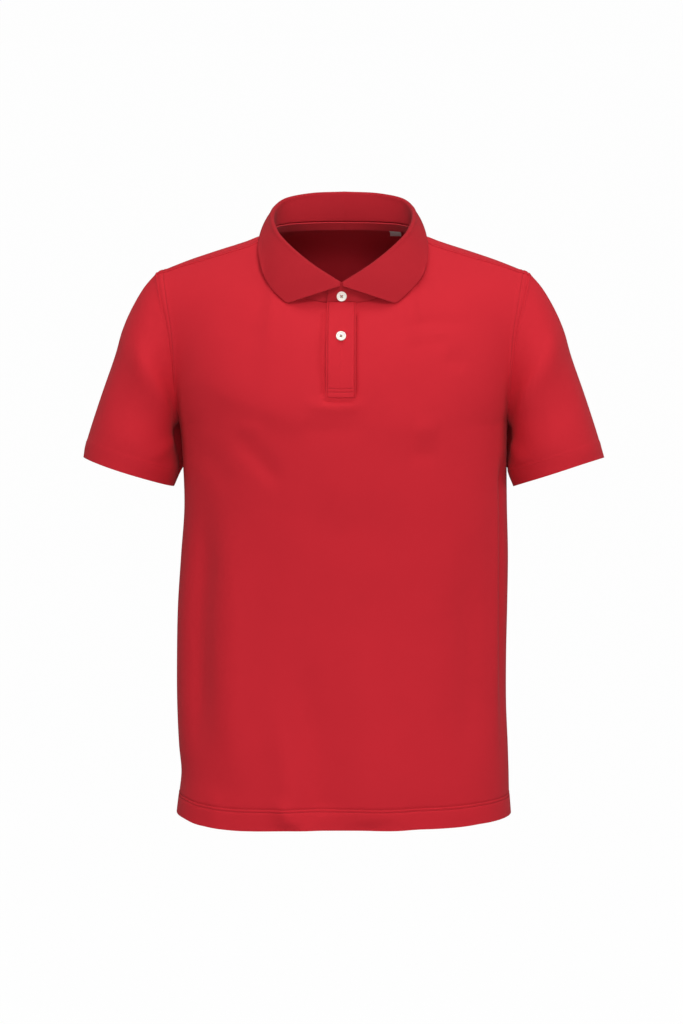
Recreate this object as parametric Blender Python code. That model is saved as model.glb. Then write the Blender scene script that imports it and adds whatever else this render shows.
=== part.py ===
"""A short-sleeved polo shirt, filled out as if worn, each piece of cloth a wall of its real thickness.

Metres, +Z up, the front faces -Y, the wearer's left is +X. The origin is on the neck's axis, level
with the shoulder line where it meets the collar. A surface is a grid of points (row, column) worked
out from short tables; a wall is such a grid given its thickness inward.
"""

import math
from collections import namedtuple

import bmesh
import bpy
import mathutils
import numpy as np

# Driving sizes, in metres.
CLOTH = 0.0015  # one layer of the knit
HEM_CLOTH = 0.0024  # the turned-up hem
COLLAR_CLOTH = 0.0018  # collar stand and leaf
PLACKET_CLOTH = 0.0016
TAPE_CLOTH = 0.0010
LABEL_CLOTH = 0.0010
CUFF_CLOTH = 0.0026
SEAM_GAP = 0.0004  # between the edges of two pieces
LAY_GAP = 0.0005  # between a panel and what lies on it
TAPE_CLEAR = 0.0008  # between the back and the neck tape
LABEL_CLEAR = 0.0016  # the label hangs off the back
HEM_DEPTH = 0.025
CUFF_PROUD = 0.0011
SLEEVE_INSET = 0.0008  # the body stands proud of the sleeve head
SLOT_HALF = 0.0150  # half of the slot behind the placket
BUTTON_RADIUS = 0.00575
BUTTON_THICK = 0.0024
BUTTON_RIM = 0.0012
BUTTON_SLOPE = 0.0008  # from the rim to the dish
BUTTON_DISH = 0.0006
BUTTON_SIDES = 24
TOP_BUTTON_Z = -0.0662
SECOND_BUTTON_Z = -0.1119
ARMPIT_Z = -0.218

# The torso from the hem up to the armpit, a section for each row. left and right are the half widths
# as seen from the front, front and back the depths at the middle, square_left and square_right the
# powers of the section's superellipse.
Section = namedtuple("Section", "z left right front back square_left square_right")
TORSO = [
    Section(-0.6900, 0.1974, 0.2000, 0.1240, 0.1240, 3.1, 2.3),
    Section(-0.6650, 0.1945, 0.1982, 0.1240, 0.1232, 3.1, 2.3),
    Section(-0.6400, 0.1922, 0.1976, 0.1240, 0.1220, 3.0, 2.3),
    Section(-0.6070, 0.1950, 0.1965, 0.1230, 0.1180, 2.9, 2.3),
    Section(-0.5600, 0.1972, 0.1945, 0.1215, 0.1130, 2.8, 2.3),
    Section(-0.5000, 0.1975, 0.1943, 0.1210, 0.1090, 2.7, 2.3),
    Section(-0.4400, 0.1962, 0.1954, 0.1220, 0.1080, 2.6, 2.3),
    Section(-0.3800, 0.1922, 0.1960, 0.1255, 0.1120, 2.5, 2.35),
    Section(-0.3200, 0.1880, 0.1945, 0.1305, 0.1200, 2.4, 2.4),
    Section(-0.2700, 0.1895, 0.1940, 0.1340, 0.1270, 2.4, 2.4),
    Section(-0.2400, 0.1915, 0.1943, 0.1352, 0.1305, 2.4, 2.4),
    Section(ARMPIT_Z, 0.1940, 0.1950, 0.1355, 0.1320, 2.4, 2.4),
]

# Lines on the wearer's left, mirrored for the right. The armholes run from the armpit up, as shares
# of the way; the upper edges from the middle (share 0) to the sleeve (share 1).
Along = namedtuple("Along", "share x y z")
ARMHOLE_FRONT = [
    Along(0.00, 0.1945, 0.0000, ARMPIT_Z),
    Along(0.11, 0.1948, -0.0230, -0.2115),
    Along(0.22, 0.1955, -0.0400, -0.1970),
    Along(0.36, 0.1980, -0.0505, -0.1700),
    Along(0.50, 0.2012, -0.0540, -0.1400),
    Along(0.64, 0.2058, -0.0515, -0.1100),
    Along(0.77, 0.2120, -0.0430, -0.0830),
    Along(0.89, 0.2165, -0.0295, -0.0625),
    Along(1.00, 0.2195, -0.0140, -0.0482),
]
ARMHOLE_BACK = [
    Along(0.00, 0.1945, 0.0000, ARMPIT_Z),
    Along(0.11, 0.1945, 0.0250, -0.2120),
    Along(0.23, 0.1945, 0.0450, -0.1950),
    Along(0.38, 0.1955, 0.0580, -0.1660),
    Along(0.53, 0.1990, 0.0640, -0.1340),
    Along(0.68, 0.2045, 0.0610, -0.1020),
    Along(0.83, 0.2110, 0.0500, -0.0730),
    Along(0.93, 0.2165, 0.0290, -0.0528),
    Along(1.00, 0.2195, 0.0040, -0.0462),
]
NECK_SPAN = 0.46  # the share where the neck meets the shoulder seam
FRONT_EDGE = [
    Along(0.00, 0.0000, -0.0880, -0.0755),
    Along(0.12, 0.0250, -0.0855, -0.0705),
    Along(0.23, 0.0480, -0.0765, -0.0570),
    Along(0.32, 0.0660, -0.0620, -0.0400),
    Along(0.40, 0.0800, -0.0430, -0.0210),
    Along(NECK_SPAN, 0.0872, -0.0240, -0.0065),
    Along(0.56, 0.1080, -0.0255, -0.0128),
    Along(0.72, 0.1440, -0.0250, -0.0240),
    Along(0.88, 0.1850, -0.0200, -0.0363),
    Along(1.00, 0.2195, -0.0140, -0.0482),
]
BACK_NECK = [
    Along(0.00, 0.0000, 0.0750, 0.0100),
    Along(0.12, 0.0270, 0.0715, 0.0100),
    Along(0.23, 0.0520, 0.0605, 0.0098),
    Along(0.32, 0.0700, 0.0440, 0.0090),
    Along(0.40, 0.0830, 0.0160, 0.0058),
    Along(NECK_SPAN, 0.0872, -0.0240, -0.0065),
]
RIDGE = [
    Along(0.00, 0.0000, 0.0830, 0.0020),
    Along(0.12, 0.0300, 0.0800, 0.0018),
    Along(0.23, 0.0580, 0.0700, 0.0010),
    Along(0.32, 0.0770, 0.0560, -0.0005),
    Along(0.40, 0.0925, 0.0380, -0.0030),
    Along(NECK_SPAN, 0.1035, 0.0230, -0.0062),
    Along(0.56, 0.1210, 0.0100, -0.0115),
    Along(0.72, 0.1500, 0.0050, -0.0205),
    Along(0.88, 0.1860, 0.0040, -0.0328),
    Along(1.00, 0.2195, 0.0040, -0.0462),
]
# How the panels arrive at those edges, as (back, up). The front turns further back at the neck point,
# the back rises more behind the neck. FULLNESS is how far they bulge, at the middle and more at a side.
FRONT_ROLL, FRONT_ROLL_AT_NECK = (0.62, 0.78), 0.25
BACK_ROLL, BACK_ROLL_AT_NECK = (-1.0, 0.05), 0.45
FULLNESS, SIDE_FULLNESS = 1.05, 0.35
SHOULDER_ARRIVAL = (0.0, -0.8925, -0.63)  # of the back at the forward shoulder seam

# The sleeve from the armhole to the top of the cuff, a section for each row: the top and bottom points
# as seen from the front, how far it reaches to the front and to the back, how much its front edge
# lifts and its back edge drops as the arm swings forward, and the share of TUCK that it has.
Ring = namedtuple("Ring", "top_x top_z low_x low_z front back tilt tuck")
SLEEVE = [
    Ring(0.2195, -0.0462, 0.1945, -0.2180, 0.0540, 0.0640, 0.00, 0.0),
    Ring(0.2345, -0.0640, 0.1950, -0.2215, 0.0580, 0.0650, 0.01, 0.2),
    Ring(0.2490, -0.0890, 0.1953, -0.2275, 0.0615, 0.0650, 0.02, 0.5),
    Ring(0.2598, -0.1145, 0.1956, -0.2345, 0.0635, 0.0640, 0.03, 0.8),
    Ring(0.2685, -0.1450, 0.1958, -0.2435, 0.0645, 0.0615, 0.04, 1.0),
    Ring(0.2828, -0.1860, 0.1960, -0.2560, 0.0650, 0.0570, 0.05, 1.0),
    Ring(0.2948, -0.2220, 0.1963, -0.2690, 0.0655, 0.0520, 0.06, 1.0),
    Ring(0.3025, -0.2470, 0.1968, -0.2800, 0.0655, 0.0485, 0.07, 0.9),
]
CUFF_END = Ring(0.3067, -0.2650, 0.2030, -0.2985, 0.0655, 0.0460, 0.07, 0.8)
TUCK = 0.004  # how far the lower back of each sleeve reaches in behind the body's side

# Half of the collar, from the front to the middle of the back: the crest of the roll and the leaf's
# outer edge. The first row is the front edge, from the opening to the collar point.
Station = namedtuple("Station", "x y z edge_x edge_y edge_z")
COLLAR = [
    Station(0.0025, -0.0905, -0.0505, 0.0633, -0.0985, -0.0752),
    Station(0.0344, -0.0830, -0.0295, 0.0748, -0.0945, -0.0655),
    Station(0.0605, -0.0655, -0.0095, 0.0835, -0.0885, -0.0570),
    Station(0.0740, -0.0470, 0.0030, 0.0925, -0.0790, -0.0465),
    Station(0.0825, -0.0180, 0.0170, 0.0990, -0.0610, -0.0300),
    Station(0.0835, 0.0100, 0.0262, 0.1005, -0.0330, -0.0100),
    Station(0.0800, 0.0340, 0.0322, 0.0965, 0.0000, 0.0020),
    Station(0.0700, 0.0560, 0.0390, 0.0880, 0.0520, 0.0045),
    Station(0.0420, 0.0740, 0.0442, 0.0530, 0.0880, 0.0030),
    Station(0.0000, 0.0790, 0.0460, 0.0000, 0.1000, 0.0030),
]
# The roll in section, from the stand's top over the crest: how far out and how far up.
ROLL = ((-0.0026, -0.0046), (-0.0020, -0.0014), (0.0000, 0.0000), (0.0024, -0.0012), (0.0038, -0.0044))
FALL = (0.25, 0.5, 0.75, 1.0)  # the leaf below the roll, as shares of the way to its edge
FALL_BELLY = 0.0020
LEAF_COLUMNS = 16  # in half of the collar
STAND_ROWS = (0.0, 0.35, 0.7, 1.0)
STAND_START = 0.03  # the share of the collar where the stand's upper end is
LAP_STEP = 0.0024  # the stand's under end lies this far inside the upper end
LAP_START = 0.105  # span where the under end has stepped in

# Grid lines: spans across half of a torso panel, and rises, the shares of the way up from the armpit.
SLOT_SPAN, PLACKET_SPAN = 0.0700, 0.0816
SPANS = (0.0, SLOT_SPAN, 0.15, 0.23, 0.31, 0.39, NECK_SPAN, 0.54, 0.63, 0.72, 0.81, 0.89, 0.95, 1.0)
RISES = (0.0, 0.13, 0.265, 0.38, 0.50, 0.62, 0.74, 0.84, 0.93, 1.0)
SLOT_ROW = 2  # the row of RISES at the slot's lower end
OVER_RIDGE = (0.3, 0.65, 1.0)
PLACKET_DROP, PLACKET_TOP = 0.03, 0.997  # how far below the slot it starts, and the rise where it ends
UNDER_CLEAR = 0.004  # of the under strip, above the slot's lower end
TAPE_SPAN, TAPE_RISES = 0.39, (1.3, 1.65, 1.95)
LABEL_SPANS, LABEL_RISES = (0.228, 0.288), (0.965, 1.0, 1.27)
SHARP_EDGE = math.radians(35)

SIDE_NAMES = {1: "left", -1: "right"}  # the wearer's

Finish = namedtuple("Finish", "colour roughness")
KNIT = Finish((0.56, 0.022, 0.036), 0.75)
LABEL = Finish((0.55, 0.55, 0.52), 0.7)
BUTTON = Finish((0.86, 0.83, 0.78), 0.35)


def spline(table, at):
    """The table's other columns at a value of its first column, on a smooth curve through the rows."""
    rows = np.asarray(table, float)
    knots, values = rows[:, 0], rows[:, 1:]
    slopes = np.gradient(values, knots, axis=0)
    i = int(np.clip(np.searchsorted(knots, at) - 1, 0, len(knots) - 2))
    width = knots[i + 1] - knots[i]
    t = (at - knots[i]) / width
    return hermite(values[i], width * slopes[i], values[i + 1], width * slopes[i + 1], t)


def hermite(start, leave, end, arrive, t):
    """A point on the curve between two points with the given directions."""
    return (
        (1 + 2 * t) * (1 - t) ** 2 * start
        + t * (1 - t) ** 2 * leave
        + t * t * (3 - 2 * t) * end
        + t * t * (t - 1) * arrive
    )


def unit(vectors):
    """The same directions, one metre long."""
    return vectors / np.linalg.norm(vectors, axis=-1, keepdims=True)


def mirrored(point, span):
    """A point given for the wearer's left, turned to the side that the span's sign says."""
    return np.array((math.copysign(point[0], span), point[1], point[2])) if span < 0 else np.array(point)


def torso_section(z, span, facing):
    """A point of the torso below the armpit; facing is -1 at the front and 1 at the back."""
    at = Section(z, *spline(TORSO, z))
    turn = span * math.pi / 2
    width, square = (at.left, at.square_left) if span < 0 else (at.right, at.square_right)
    depth = at.front if facing < 0 else at.back
    reach = (abs(math.sin(turn) / width) ** square + abs(math.cos(turn) / depth) ** square) ** (-1 / square)
    return np.array((reach * math.sin(turn), facing * reach * math.cos(turn), z))


def roll_direction(span, facing):
    """The way a panel arrives at its upper edge or ridge."""
    if facing < 0:
        back, up = FRONT_ROLL
        return unit(np.array((0.0, back + FRONT_ROLL_AT_NECK * min(1.0, abs(span) / NECK_SPAN), up)))
    back, up = BACK_ROLL
    near = max(0.0, 1 - abs(span) / NECK_SPAN)
    return unit(np.array((0.0, back, up + BACK_ROLL_AT_NECK * near * near * (3 - 2 * near))))


def chest(span, rise, facing):
    """A point of the torso between the armpit (rise 0) and its upper edge or ridge (rise 1)."""
    hole = ARMHOLE_FRONT if facing < 0 else ARMHOLE_BACK
    edge = FRONT_EDGE if facing < 0 else RIDGE

    def free(where):
        start = torso_section(ARMPIT_Z, where, facing)
        end = mirrored(spline(edge, abs(where)), where)
        full = np.linalg.norm(end - start) * (FULLNESS + SIDE_FULLNESS * abs(where))
        return hermite(start, np.array((0.0, 0.0, full)), end, roll_direction(where, facing) * full, rise)

    side = math.copysign(1.0, span)
    sleeve = mirrored(spline(hole, rise), side)
    return free(span) + abs(span) ** 4 * (sleeve - free(side))


def front_point(span, rise):
    """A point of the front; a rise under 0 is a height in metres below the armpit."""
    return torso_section(ARMPIT_Z + rise, span, -1) if rise < 0 else chest(span, rise, -1)


def back_point(span, rise):
    """A point of the back; past a rise of 1 it is over the ridge, on the way to the forward seam."""
    if rise < 0:
        return torso_section(ARMPIT_Z + rise, span, 1)
    if rise <= 1:
        return chest(span, rise, 1)
    start = chest(span, 1.0, 1)
    if abs(span) <= NECK_SPAN:
        return start + (mirrored(spline(BACK_NECK, abs(span)), span) - start) * (rise - 1)
    end = mirrored(spline(FRONT_EDGE, abs(span)), span)
    reach = np.linalg.norm(end - start)
    return hermite(start, np.array((0, -reach, 0)), end, np.array(SHOULDER_ARRIVAL) * reach, rise - 1)


def grid(point, spans, rises):
    """Rows of points of a surface."""
    return np.array([[point(span, rise) for span in spans] for rise in rises])


def normals(points, wrap=False):
    """Unit normals of a grid, pointing to the side from which rows go up and columns go right."""
    across = np.gradient(points, axis=1)
    if wrap:
        across = np.roll(points, -1, axis=1) - np.roll(points, 1, axis=1)
    return unit(np.cross(across, np.gradient(points, axis=0)))


def wall(name, outer, inner, finish, wrap=False, keep=None):
    """A closed wall between two grids of the same size; keep says which cells there are."""
    rows, columns = outer.shape[:2]
    count = rows * columns
    spans = columns if wrap else columns - 1
    cells = [(i, j) for i in range(rows - 1) for j in range(spans) if keep is None or keep[i, j]]
    faces, rims = [], {}
    for i, j in cells:
        low, high = i * columns, (i + 1) * columns
        following = (j + 1) % columns
        corners = (low + j, low + following, high + following, high + j)
        faces.append(corners)
        faces.append(tuple(count + corner for corner in reversed(corners)))
        for a, b in zip(corners, corners[1:] + corners[:1]):
            if (b, a) in rims:
                del rims[(b, a)]
            else:
                rims[(a, b)] = True
    faces += [(b, a, count + a, count + b) for a, b in rims]
    used = sorted({corner for face in faces for corner in face})
    place = {corner: number for number, corner in enumerate(used)}
    points = np.concatenate([outer.reshape(-1, 3), inner.reshape(-1, 3)])[used]
    mesh = bpy.data.meshes.new(name)
    mesh.from_pydata(points.tolist(), [], [[place[corner] for corner in face] for face in faces])
    mesh.shade_smooth()
    mesh.set_sharp_from_angle(angle=SHARP_EDGE)
    add(name, mesh, finish)


def add(name, mesh, finish):
    """An object of a mesh, in its own material."""
    material = bpy.data.materials.new(name)
    material.use_nodes = True
    shader = material.node_tree.nodes["Principled BSDF"]
    shader.inputs["Base Color"].default_value = (*finish.colour, 1.0)
    shader.inputs["Roughness"].default_value = finish.roughness
    mesh.materials.append(material)
    bpy.context.scene.collection.objects.link(bpy.data.objects.new(name, mesh))


def both_sides(spans):
    """The spans of both sides, from the wearer's right to the left."""
    return sorted({-span for span in spans} | set(spans))


def torso_rises(over):
    """The rows of a torso panel, from the hem up; over are the rows past the ridge."""
    low = [row.z - ARMPIT_Z for row in TORSO[:-1]]
    return low + list(RISES) + [1 + share for share in over]


def torso():
    """Both torso panels; returns their outer grids and normals, for the pieces that join them."""
    spans = both_sides(SPANS)
    front = grid(front_point, spans, torso_rises(()))
    back = grid(back_point, spans, torso_rises(OVER_RIDGE))[:, ::-1]
    front_out, back_out = normals(front), normals(back)
    low = len(TORSO)
    # The side seams share one normal, and so do the forward shoulder seams.
    for column in (0, -1):
        shared = unit(front_out[:low, column] + back_out[:low, -1 - column])
        front_out[:low, column] = shared
        back_out[:low, -1 - column] = shared
    for j, span in enumerate(spans):
        if abs(span) >= NECK_SPAN:
            shared = unit(front_out[-1, j] + back_out[-1, -1 - j])
            front_out[-1, j] = shared
            back_out[-1, -1 - j] = shared
    slotted = np.ones((len(front) - 1, len(spans) - 1), bool)
    middle = spans.index(0.0)
    slotted[len(TORSO) - 1 + SLOT_ROW :, middle - 1 : middle + 1] = False
    hem_top = TORSO[0].z + HEM_DEPTH + SEAM_GAP
    for name, points, out, keep in (
        ("front_panel", front, front_out, slotted),
        ("back_panel", back, back_out, None),
    ):
        outer = points.copy()
        outer[:low, 0] += unit(points[:low, 1] - points[:low, 0]) * SEAM_GAP / 2
        outer[:low, -1] += unit(points[:low, -2] - points[:low, -1]) * SEAM_GAP / 2
        outer[-1] += unit(points[-2] - points[-1]) * SEAM_GAP / 2
        thick = np.where(points[:, :, 2] < hem_top, HEM_CLOTH, CLOTH)[..., None]
        wall(name, outer, outer - out * thick, KNIT, keep=keep)
    return front, front_out, back, back_out


def sleeve_ring(row, turns):
    """A section of the sleeve; a turn of 0 is under the arm, 0.25 the front, 0.5 the top."""
    middle = np.array(((row.top_x + row.low_x) / 2, 0.0, (row.top_z + row.low_z) / 2))
    down = np.array((row.low_x - row.top_x, 0.0, row.low_z - row.top_z)) / 2
    points = []
    for angle in turns * math.tau:
        ahead = (row.front if math.sin(angle) > 0 else row.back) * math.sin(angle)
        under = max(0.0, -math.sin(2 * angle)) if math.cos(angle) > 0 else 0.0
        point = middle + down * math.cos(angle) + np.array((0, -ahead, ahead * row.tilt))
        points.append(point - np.array((TUCK * row.tuck * under, 0, 0)))
    return np.array(points)


def loop_turns(points):
    """For each point of the armhole, its share of the way round, with the top at one half."""
    steps = np.linalg.norm(np.diff(np.vstack([points, points[:1]]), axis=0), axis=1)
    way = np.concatenate([[0], np.cumsum(steps)])
    top = int(np.argmax(points[:, 2]))
    ahead = way[: top + 1] / way[top] / 2
    behind = 0.5 + (way[top + 1 : -1] - way[top]) / (way[-1] - way[top]) / 2
    return np.concatenate([ahead, behind])


def sleeve(side, front, front_out, back, back_out):
    """A sleeve and its cuff, joined to the armhole's own points; side is -1 or 1 in X."""
    low = len(TORSO) - 1
    edge = -1 if side > 0 else 0
    turn = np.array((side, 1, 1))
    rim = turn * np.concatenate([front[low:, edge], back[low + 1 : -1, -1 - edge][::-1]])
    out = turn * np.concatenate([front_out[low:, edge], back_out[low + 1 : -1, -1 - edge][::-1]])
    turns = loop_turns(rim)
    rim = rim + (SEAM_GAP, 0, 0) - out * SLEEVE_INSET
    missed = rim - sleeve_ring(SLEEVE[0], turns)
    points = np.array(
        [sleeve_ring(row, turns) + missed * (1 - i / len(SLEEVE)) ** 3 for i, row in enumerate(SLEEVE)]
    )
    facing = -normals(points, wrap=True)
    facing[0] = out
    tube(f"sleeve_{SIDE_NAMES[side]}", points, facing, CLOTH, side)
    start, end = sleeve_ring(SLEEVE[-1], turns), sleeve_ring(CUFF_END, turns)
    along = unit((end - start).mean(axis=0))
    cuff = np.array([start + along * 2 * SEAM_GAP, (start + end) / 2, end])
    facing = -normals(cuff, wrap=True)
    tube(f"cuff_{SIDE_NAMES[side]}", cuff + facing * CUFF_PROUD, facing, CUFF_CLOTH, side)


def tube(name, points, facing, thick, side):
    """A wall round an arm; the far side of the shirt has the mirrored shape."""
    turn = np.array((side, 1, 1))
    outer, inner = points * turn, (points - facing * thick) * turn
    if side > 0:
        outer, inner = outer[:, ::-1], inner[:, ::-1]
    wall(name, outer, inner, KNIT, wrap=True)


def shares(points):
    """For each point of a line, its share of the line's length."""
    way = np.concatenate([[0], np.cumsum(np.linalg.norm(np.diff(points, axis=0), axis=1))])
    return way / way[-1]


def collar_point(share, side):
    """The crest, the leaf's edge and the level direction outward, at a share of the way to the back."""
    rows = np.asarray(COLLAR)
    table = np.column_stack([shares(rows[:, :3]), rows])
    turn = np.array((side, 1, 1))
    at = Station(*spline(table, share))
    crest, edge = np.array((at.x, at.y, at.z)), np.array((at.edge_x, at.edge_y, at.edge_z))
    step = 1 / LEAF_COLUMNS / 3
    ahead, behind = spline(table, min(share + step, 1)), spline(table, max(share - step, 0))
    run = ahead[:2] - behind[:2]
    out = np.array((0.0, 1.0, 0.0)) if share >= 1 else unit(np.array((run[1], -run[0], 0.0)))
    return crest * turn, edge * turn, out * turn


def collar_leaf():
    """The fall of the collar: over the roll from the stand's top edge, and down to its outer edge."""
    half = np.linspace(0, 1, LEAF_COLUMNS + 1)
    up = np.array((0.0, 0.0, 1.0))
    columns = []
    for share, side in [(share, -1) for share in half] + [(share, 1) for share in half[-2::-1]]:
        crest, edge, out = collar_point(share, side)
        column = [crest + out * across + up * rise for across, rise in ROLL]
        fold = column[-1]
        for way in FALL:
            belly = FALL_BELLY * 4 * way * (1 - way)
            column.append(fold + (edge - fold) * way + out * belly)
        columns.append(column)
    points = np.array(columns).transpose(1, 0, 2)
    wall("collar_leaf", points, points - normals(points) * COLLAR_CLOTH, KNIT)


def collar_stand(neck):
    """The band on the neck seam; neck is a list of (seam point, share to the back, side, step inward)."""
    under_roll_out, under_roll_up = ROLL[0]
    columns = []
    for seam, share, side, step in neck:
        crest, _, out = collar_point(share, side)
        top = crest + out * under_roll_out + np.array((0, 0, under_roll_up - 2 * SEAM_GAP))
        low = seam + unit(top - seam) * SEAM_GAP
        columns.append([low + (top - low) * row - out * step for row in STAND_ROWS])
    points = np.array(columns).transpose(1, 0, 2)
    wall("collar_stand", points, points - normals(points) * COLLAR_CLOTH, KNIT)


def neck_line():
    """The neck seam from the stand's upper end round the wearer's left to its under end."""
    spans = [span for span in SPANS if span <= NECK_SPAN]
    ahead = [front_point(span, 1.0) for span in spans]
    behind = [back_point(span, 2.0) for span in spans[-2::-1]]
    half = np.array(ahead + behind)
    way = shares(half)
    turn = np.array((-1, 1, 1))
    line = [(front_point(-PLACKET_SPAN, 1.0), STAND_START, -1, 0.0), (half[1] * turn, way[1], -1, 0.0)]
    line += [(point, share, 1, 0.0) for point, share in zip(half, way)]
    line += [(point * turn, share, -1, 0.0) for point, share in zip(half[-2:1:-1], way[-2:1:-1])]
    line.append((front_point(-LAP_START, 1.0), way[1] * LAP_START / SLOT_SPAN, -1, LAP_STEP))
    line.append((half[1] * turn, way[1], -1, LAP_STEP))
    line += [(half[0], 0.0, 1, LAP_STEP), (half[1], way[1], 1, LAP_STEP)]
    return line


def placket():
    """The upper strip over the slot, and the under strip that fills it."""
    slot_end = RISES[SLOT_ROW]
    rises = [slot_end - PLACKET_DROP, *RISES[SLOT_ROW:-1], PLACKET_TOP]
    points = grid(front_point, both_sides((0.0, SLOT_SPAN, PLACKET_SPAN)), rises)
    out = normals(points)
    wall("placket", points + out * (LAY_GAP + PLACKET_CLOTH), points + out * LAY_GAP, KNIT)
    inset = SLOT_SPAN * (1 - SEAM_GAP / SLOT_HALF)
    points = grid(front_point, both_sides((0.0, inset)), [slot_end + UNDER_CLEAR, *rises[2:]])
    wall("placket_under", points, points - normals(points) * CLOTH, KNIT)


def inside_back(name, spans, rises, thick, clear, finish):
    """A piece that lies on the inner side of the back."""
    points = grid(back_point, spans, rises)
    inward = normals(points)
    points = points + inward * (CLOTH + clear)
    wall(name, points + inward * thick, points, finish)


def button(name, middle, out):
    """A round button with a dished face, its back on the cloth."""
    mesh = bpy.data.meshes.new(name)
    shape = bmesh.new()
    bmesh.ops.create_cone(
        shape,
        cap_ends=True,
        segments=BUTTON_SIDES,
        radius1=BUTTON_RADIUS,
        radius2=BUTTON_RADIUS,
        depth=BUTTON_THICK,
    )
    face = max(shape.faces, key=lambda found: found.calc_center_median().z)
    bmesh.ops.inset_region(shape, faces=[face], thickness=BUTTON_RIM)
    bmesh.ops.inset_region(shape, faces=[face], thickness=BUTTON_SLOPE, depth=-BUTTON_DISH)
    turn = mathutils.Vector((0, 0, 1)).rotation_difference(mathutils.Vector(out)).to_matrix().to_4x4()
    place = mathutils.Vector(middle + out * (BUTTON_THICK / 2 + LAY_GAP))
    bmesh.ops.transform(shape, matrix=mathutils.Matrix.Translation(place) @ turn, verts=shape.verts)
    shape.to_mesh(mesh)
    shape.free()
    add(name, mesh, BUTTON)


def buttons():
    """One on the stand's upper end, one on the placket."""
    seam = front_point(0.0, 1.0)
    crest = collar_point(0.0, 1)[0]
    crest[0] = 0.0
    share = (TOP_BUTTON_Z - seam[2]) / (crest[2] - seam[2])
    rise = unit(crest - seam)
    button("button_top", seam + (crest - seam) * share, np.array((0.0, -rise[2], rise[1])))
    column = grid(front_point, both_sides((0.0, SLOT_SPAN)), np.linspace(RISES[SLOT_ROW], 1, 60))
    row = int(np.argmin(abs(column[:, 1, 2] - SECOND_BUTTON_Z)))
    out = normals(column)[row, 1]
    button("button_second", column[row, 1] + out * (LAY_GAP + PLACKET_CLOTH), out)


def main():
    for found in list(bpy.data.objects):
        bpy.data.objects.remove(found)
    panels = torso()
    for side in SIDE_NAMES:
        sleeve(side, *panels)
    collar_stand(neck_line())
    collar_leaf()
    placket()
    tape_spans = both_sides([span for span in SPANS if span <= TAPE_SPAN])
    inside_back("neck_tape", tape_spans, TAPE_RISES, TAPE_CLOTH, TAPE_CLEAR, KNIT)
    inside_back("neck_label", LABEL_SPANS, LABEL_RISES, LABEL_CLOTH, LABEL_CLEAR, LABEL)
    buttons()


main()
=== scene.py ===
"""The looks of a short-sleeved polo shirt: its cloth, seams, stitches and buttons, in a pale studio.

Metres, +Z up, the front faces -Y and the wearer's left is +X. A piece of cloth is a sheet of points in
rows and columns, worked out from the shirt's own sizes. Its folds are laid on it as soft troughs
and ridges, and then it gets its thickness.
"""

from __future__ import annotations

import logging
import math
from contextlib import contextmanager
from dataclasses import dataclass, field
from enum import Enum
from typing import Any, Iterable, Iterator, Sequence

import bpy
import numpy as np
from mathutils import Matrix, Vector

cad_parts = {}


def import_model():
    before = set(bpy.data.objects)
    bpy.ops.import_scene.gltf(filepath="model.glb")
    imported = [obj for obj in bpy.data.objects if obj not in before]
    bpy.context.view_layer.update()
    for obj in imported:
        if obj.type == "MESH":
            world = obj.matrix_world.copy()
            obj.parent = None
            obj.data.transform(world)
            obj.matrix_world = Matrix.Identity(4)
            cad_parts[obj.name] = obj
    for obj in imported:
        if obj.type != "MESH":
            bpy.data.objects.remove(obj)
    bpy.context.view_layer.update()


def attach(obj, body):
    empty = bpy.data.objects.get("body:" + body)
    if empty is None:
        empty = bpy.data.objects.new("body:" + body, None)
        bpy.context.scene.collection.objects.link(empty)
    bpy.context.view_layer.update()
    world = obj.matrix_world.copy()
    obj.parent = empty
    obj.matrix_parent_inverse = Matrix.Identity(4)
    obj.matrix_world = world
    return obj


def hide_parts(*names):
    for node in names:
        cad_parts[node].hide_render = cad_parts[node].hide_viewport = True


log = logging.getLogger("polo")
Array = np.ndarray
Table = Sequence[Sequence[float]]
Colour = tuple[float, float, float]
Pair = tuple[float, float]
BODY = "root"


class Facing(Enum):
    """Which half of the torso a panel is."""

    FRONT = -1
    BACK = 1


class Side(Enum):
    """The wearer's left is at +X."""

    LEFT = 1
    RIGHT = -1


# ---------------------------------------------------------------------------------------------- shape


def unit(vectors: Array) -> Array:
    """The same directions, one metre long."""
    return vectors / np.maximum(np.linalg.norm(vectors, axis=-1, keepdims=True), 1e-12)


def hermite(start: Array, leave: Array, end: Array, arrive: Array, t: Array) -> Array:
    """Points on the curve between two points.

    Args:
        start: Where the curve begins.
        leave: The direction in which it leaves.
        end: Where the curve ends.
        arrive: The direction in which it arrives.
        t: The share of the way.

    Returns:
        The points.
    """
    return (
        (1 + 2 * t) * (1 - t) ** 2 * start
        + t * (1 - t) ** 2 * leave
        + t * t * (3 - 2 * t) * end
        + t * t * (t - 1) * arrive
    )


def curve(table: Table, at: Array) -> Array:
    """Reads a table on a smooth curve through its rows.

    Args:
        table: Rows whose first column rises.
        at: Values of the first column.

    Returns:
        The other columns at those values.
    """
    rows = np.asarray(table, float)
    knots, values = rows[:, 0], rows[:, 1:]
    at = np.asarray(at, float)
    slopes = np.gradient(values, knots, axis=0)
    i = np.clip(np.searchsorted(knots, at) - 1, 0, len(knots) - 2)
    width = (knots[i + 1] - knots[i])[..., None]
    t = (at - knots[i])[..., None] / width
    return hermite(values[i], width * slopes[i], values[i + 1], width * slopes[i + 1], t)


def step(value: Array, low: float, high: float) -> Array:
    """Rises smoothly from 0 at low to 1 at high."""
    t = np.clip((np.asarray(value, float) - low) / (high - low), 0, 1)
    return t * t * (3 - 2 * t)


def bell(value: Array, width: float) -> Array:
    """1 where the value is 0, falling smoothly to both sides."""
    return np.exp(-((value / width) ** 2))


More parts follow.
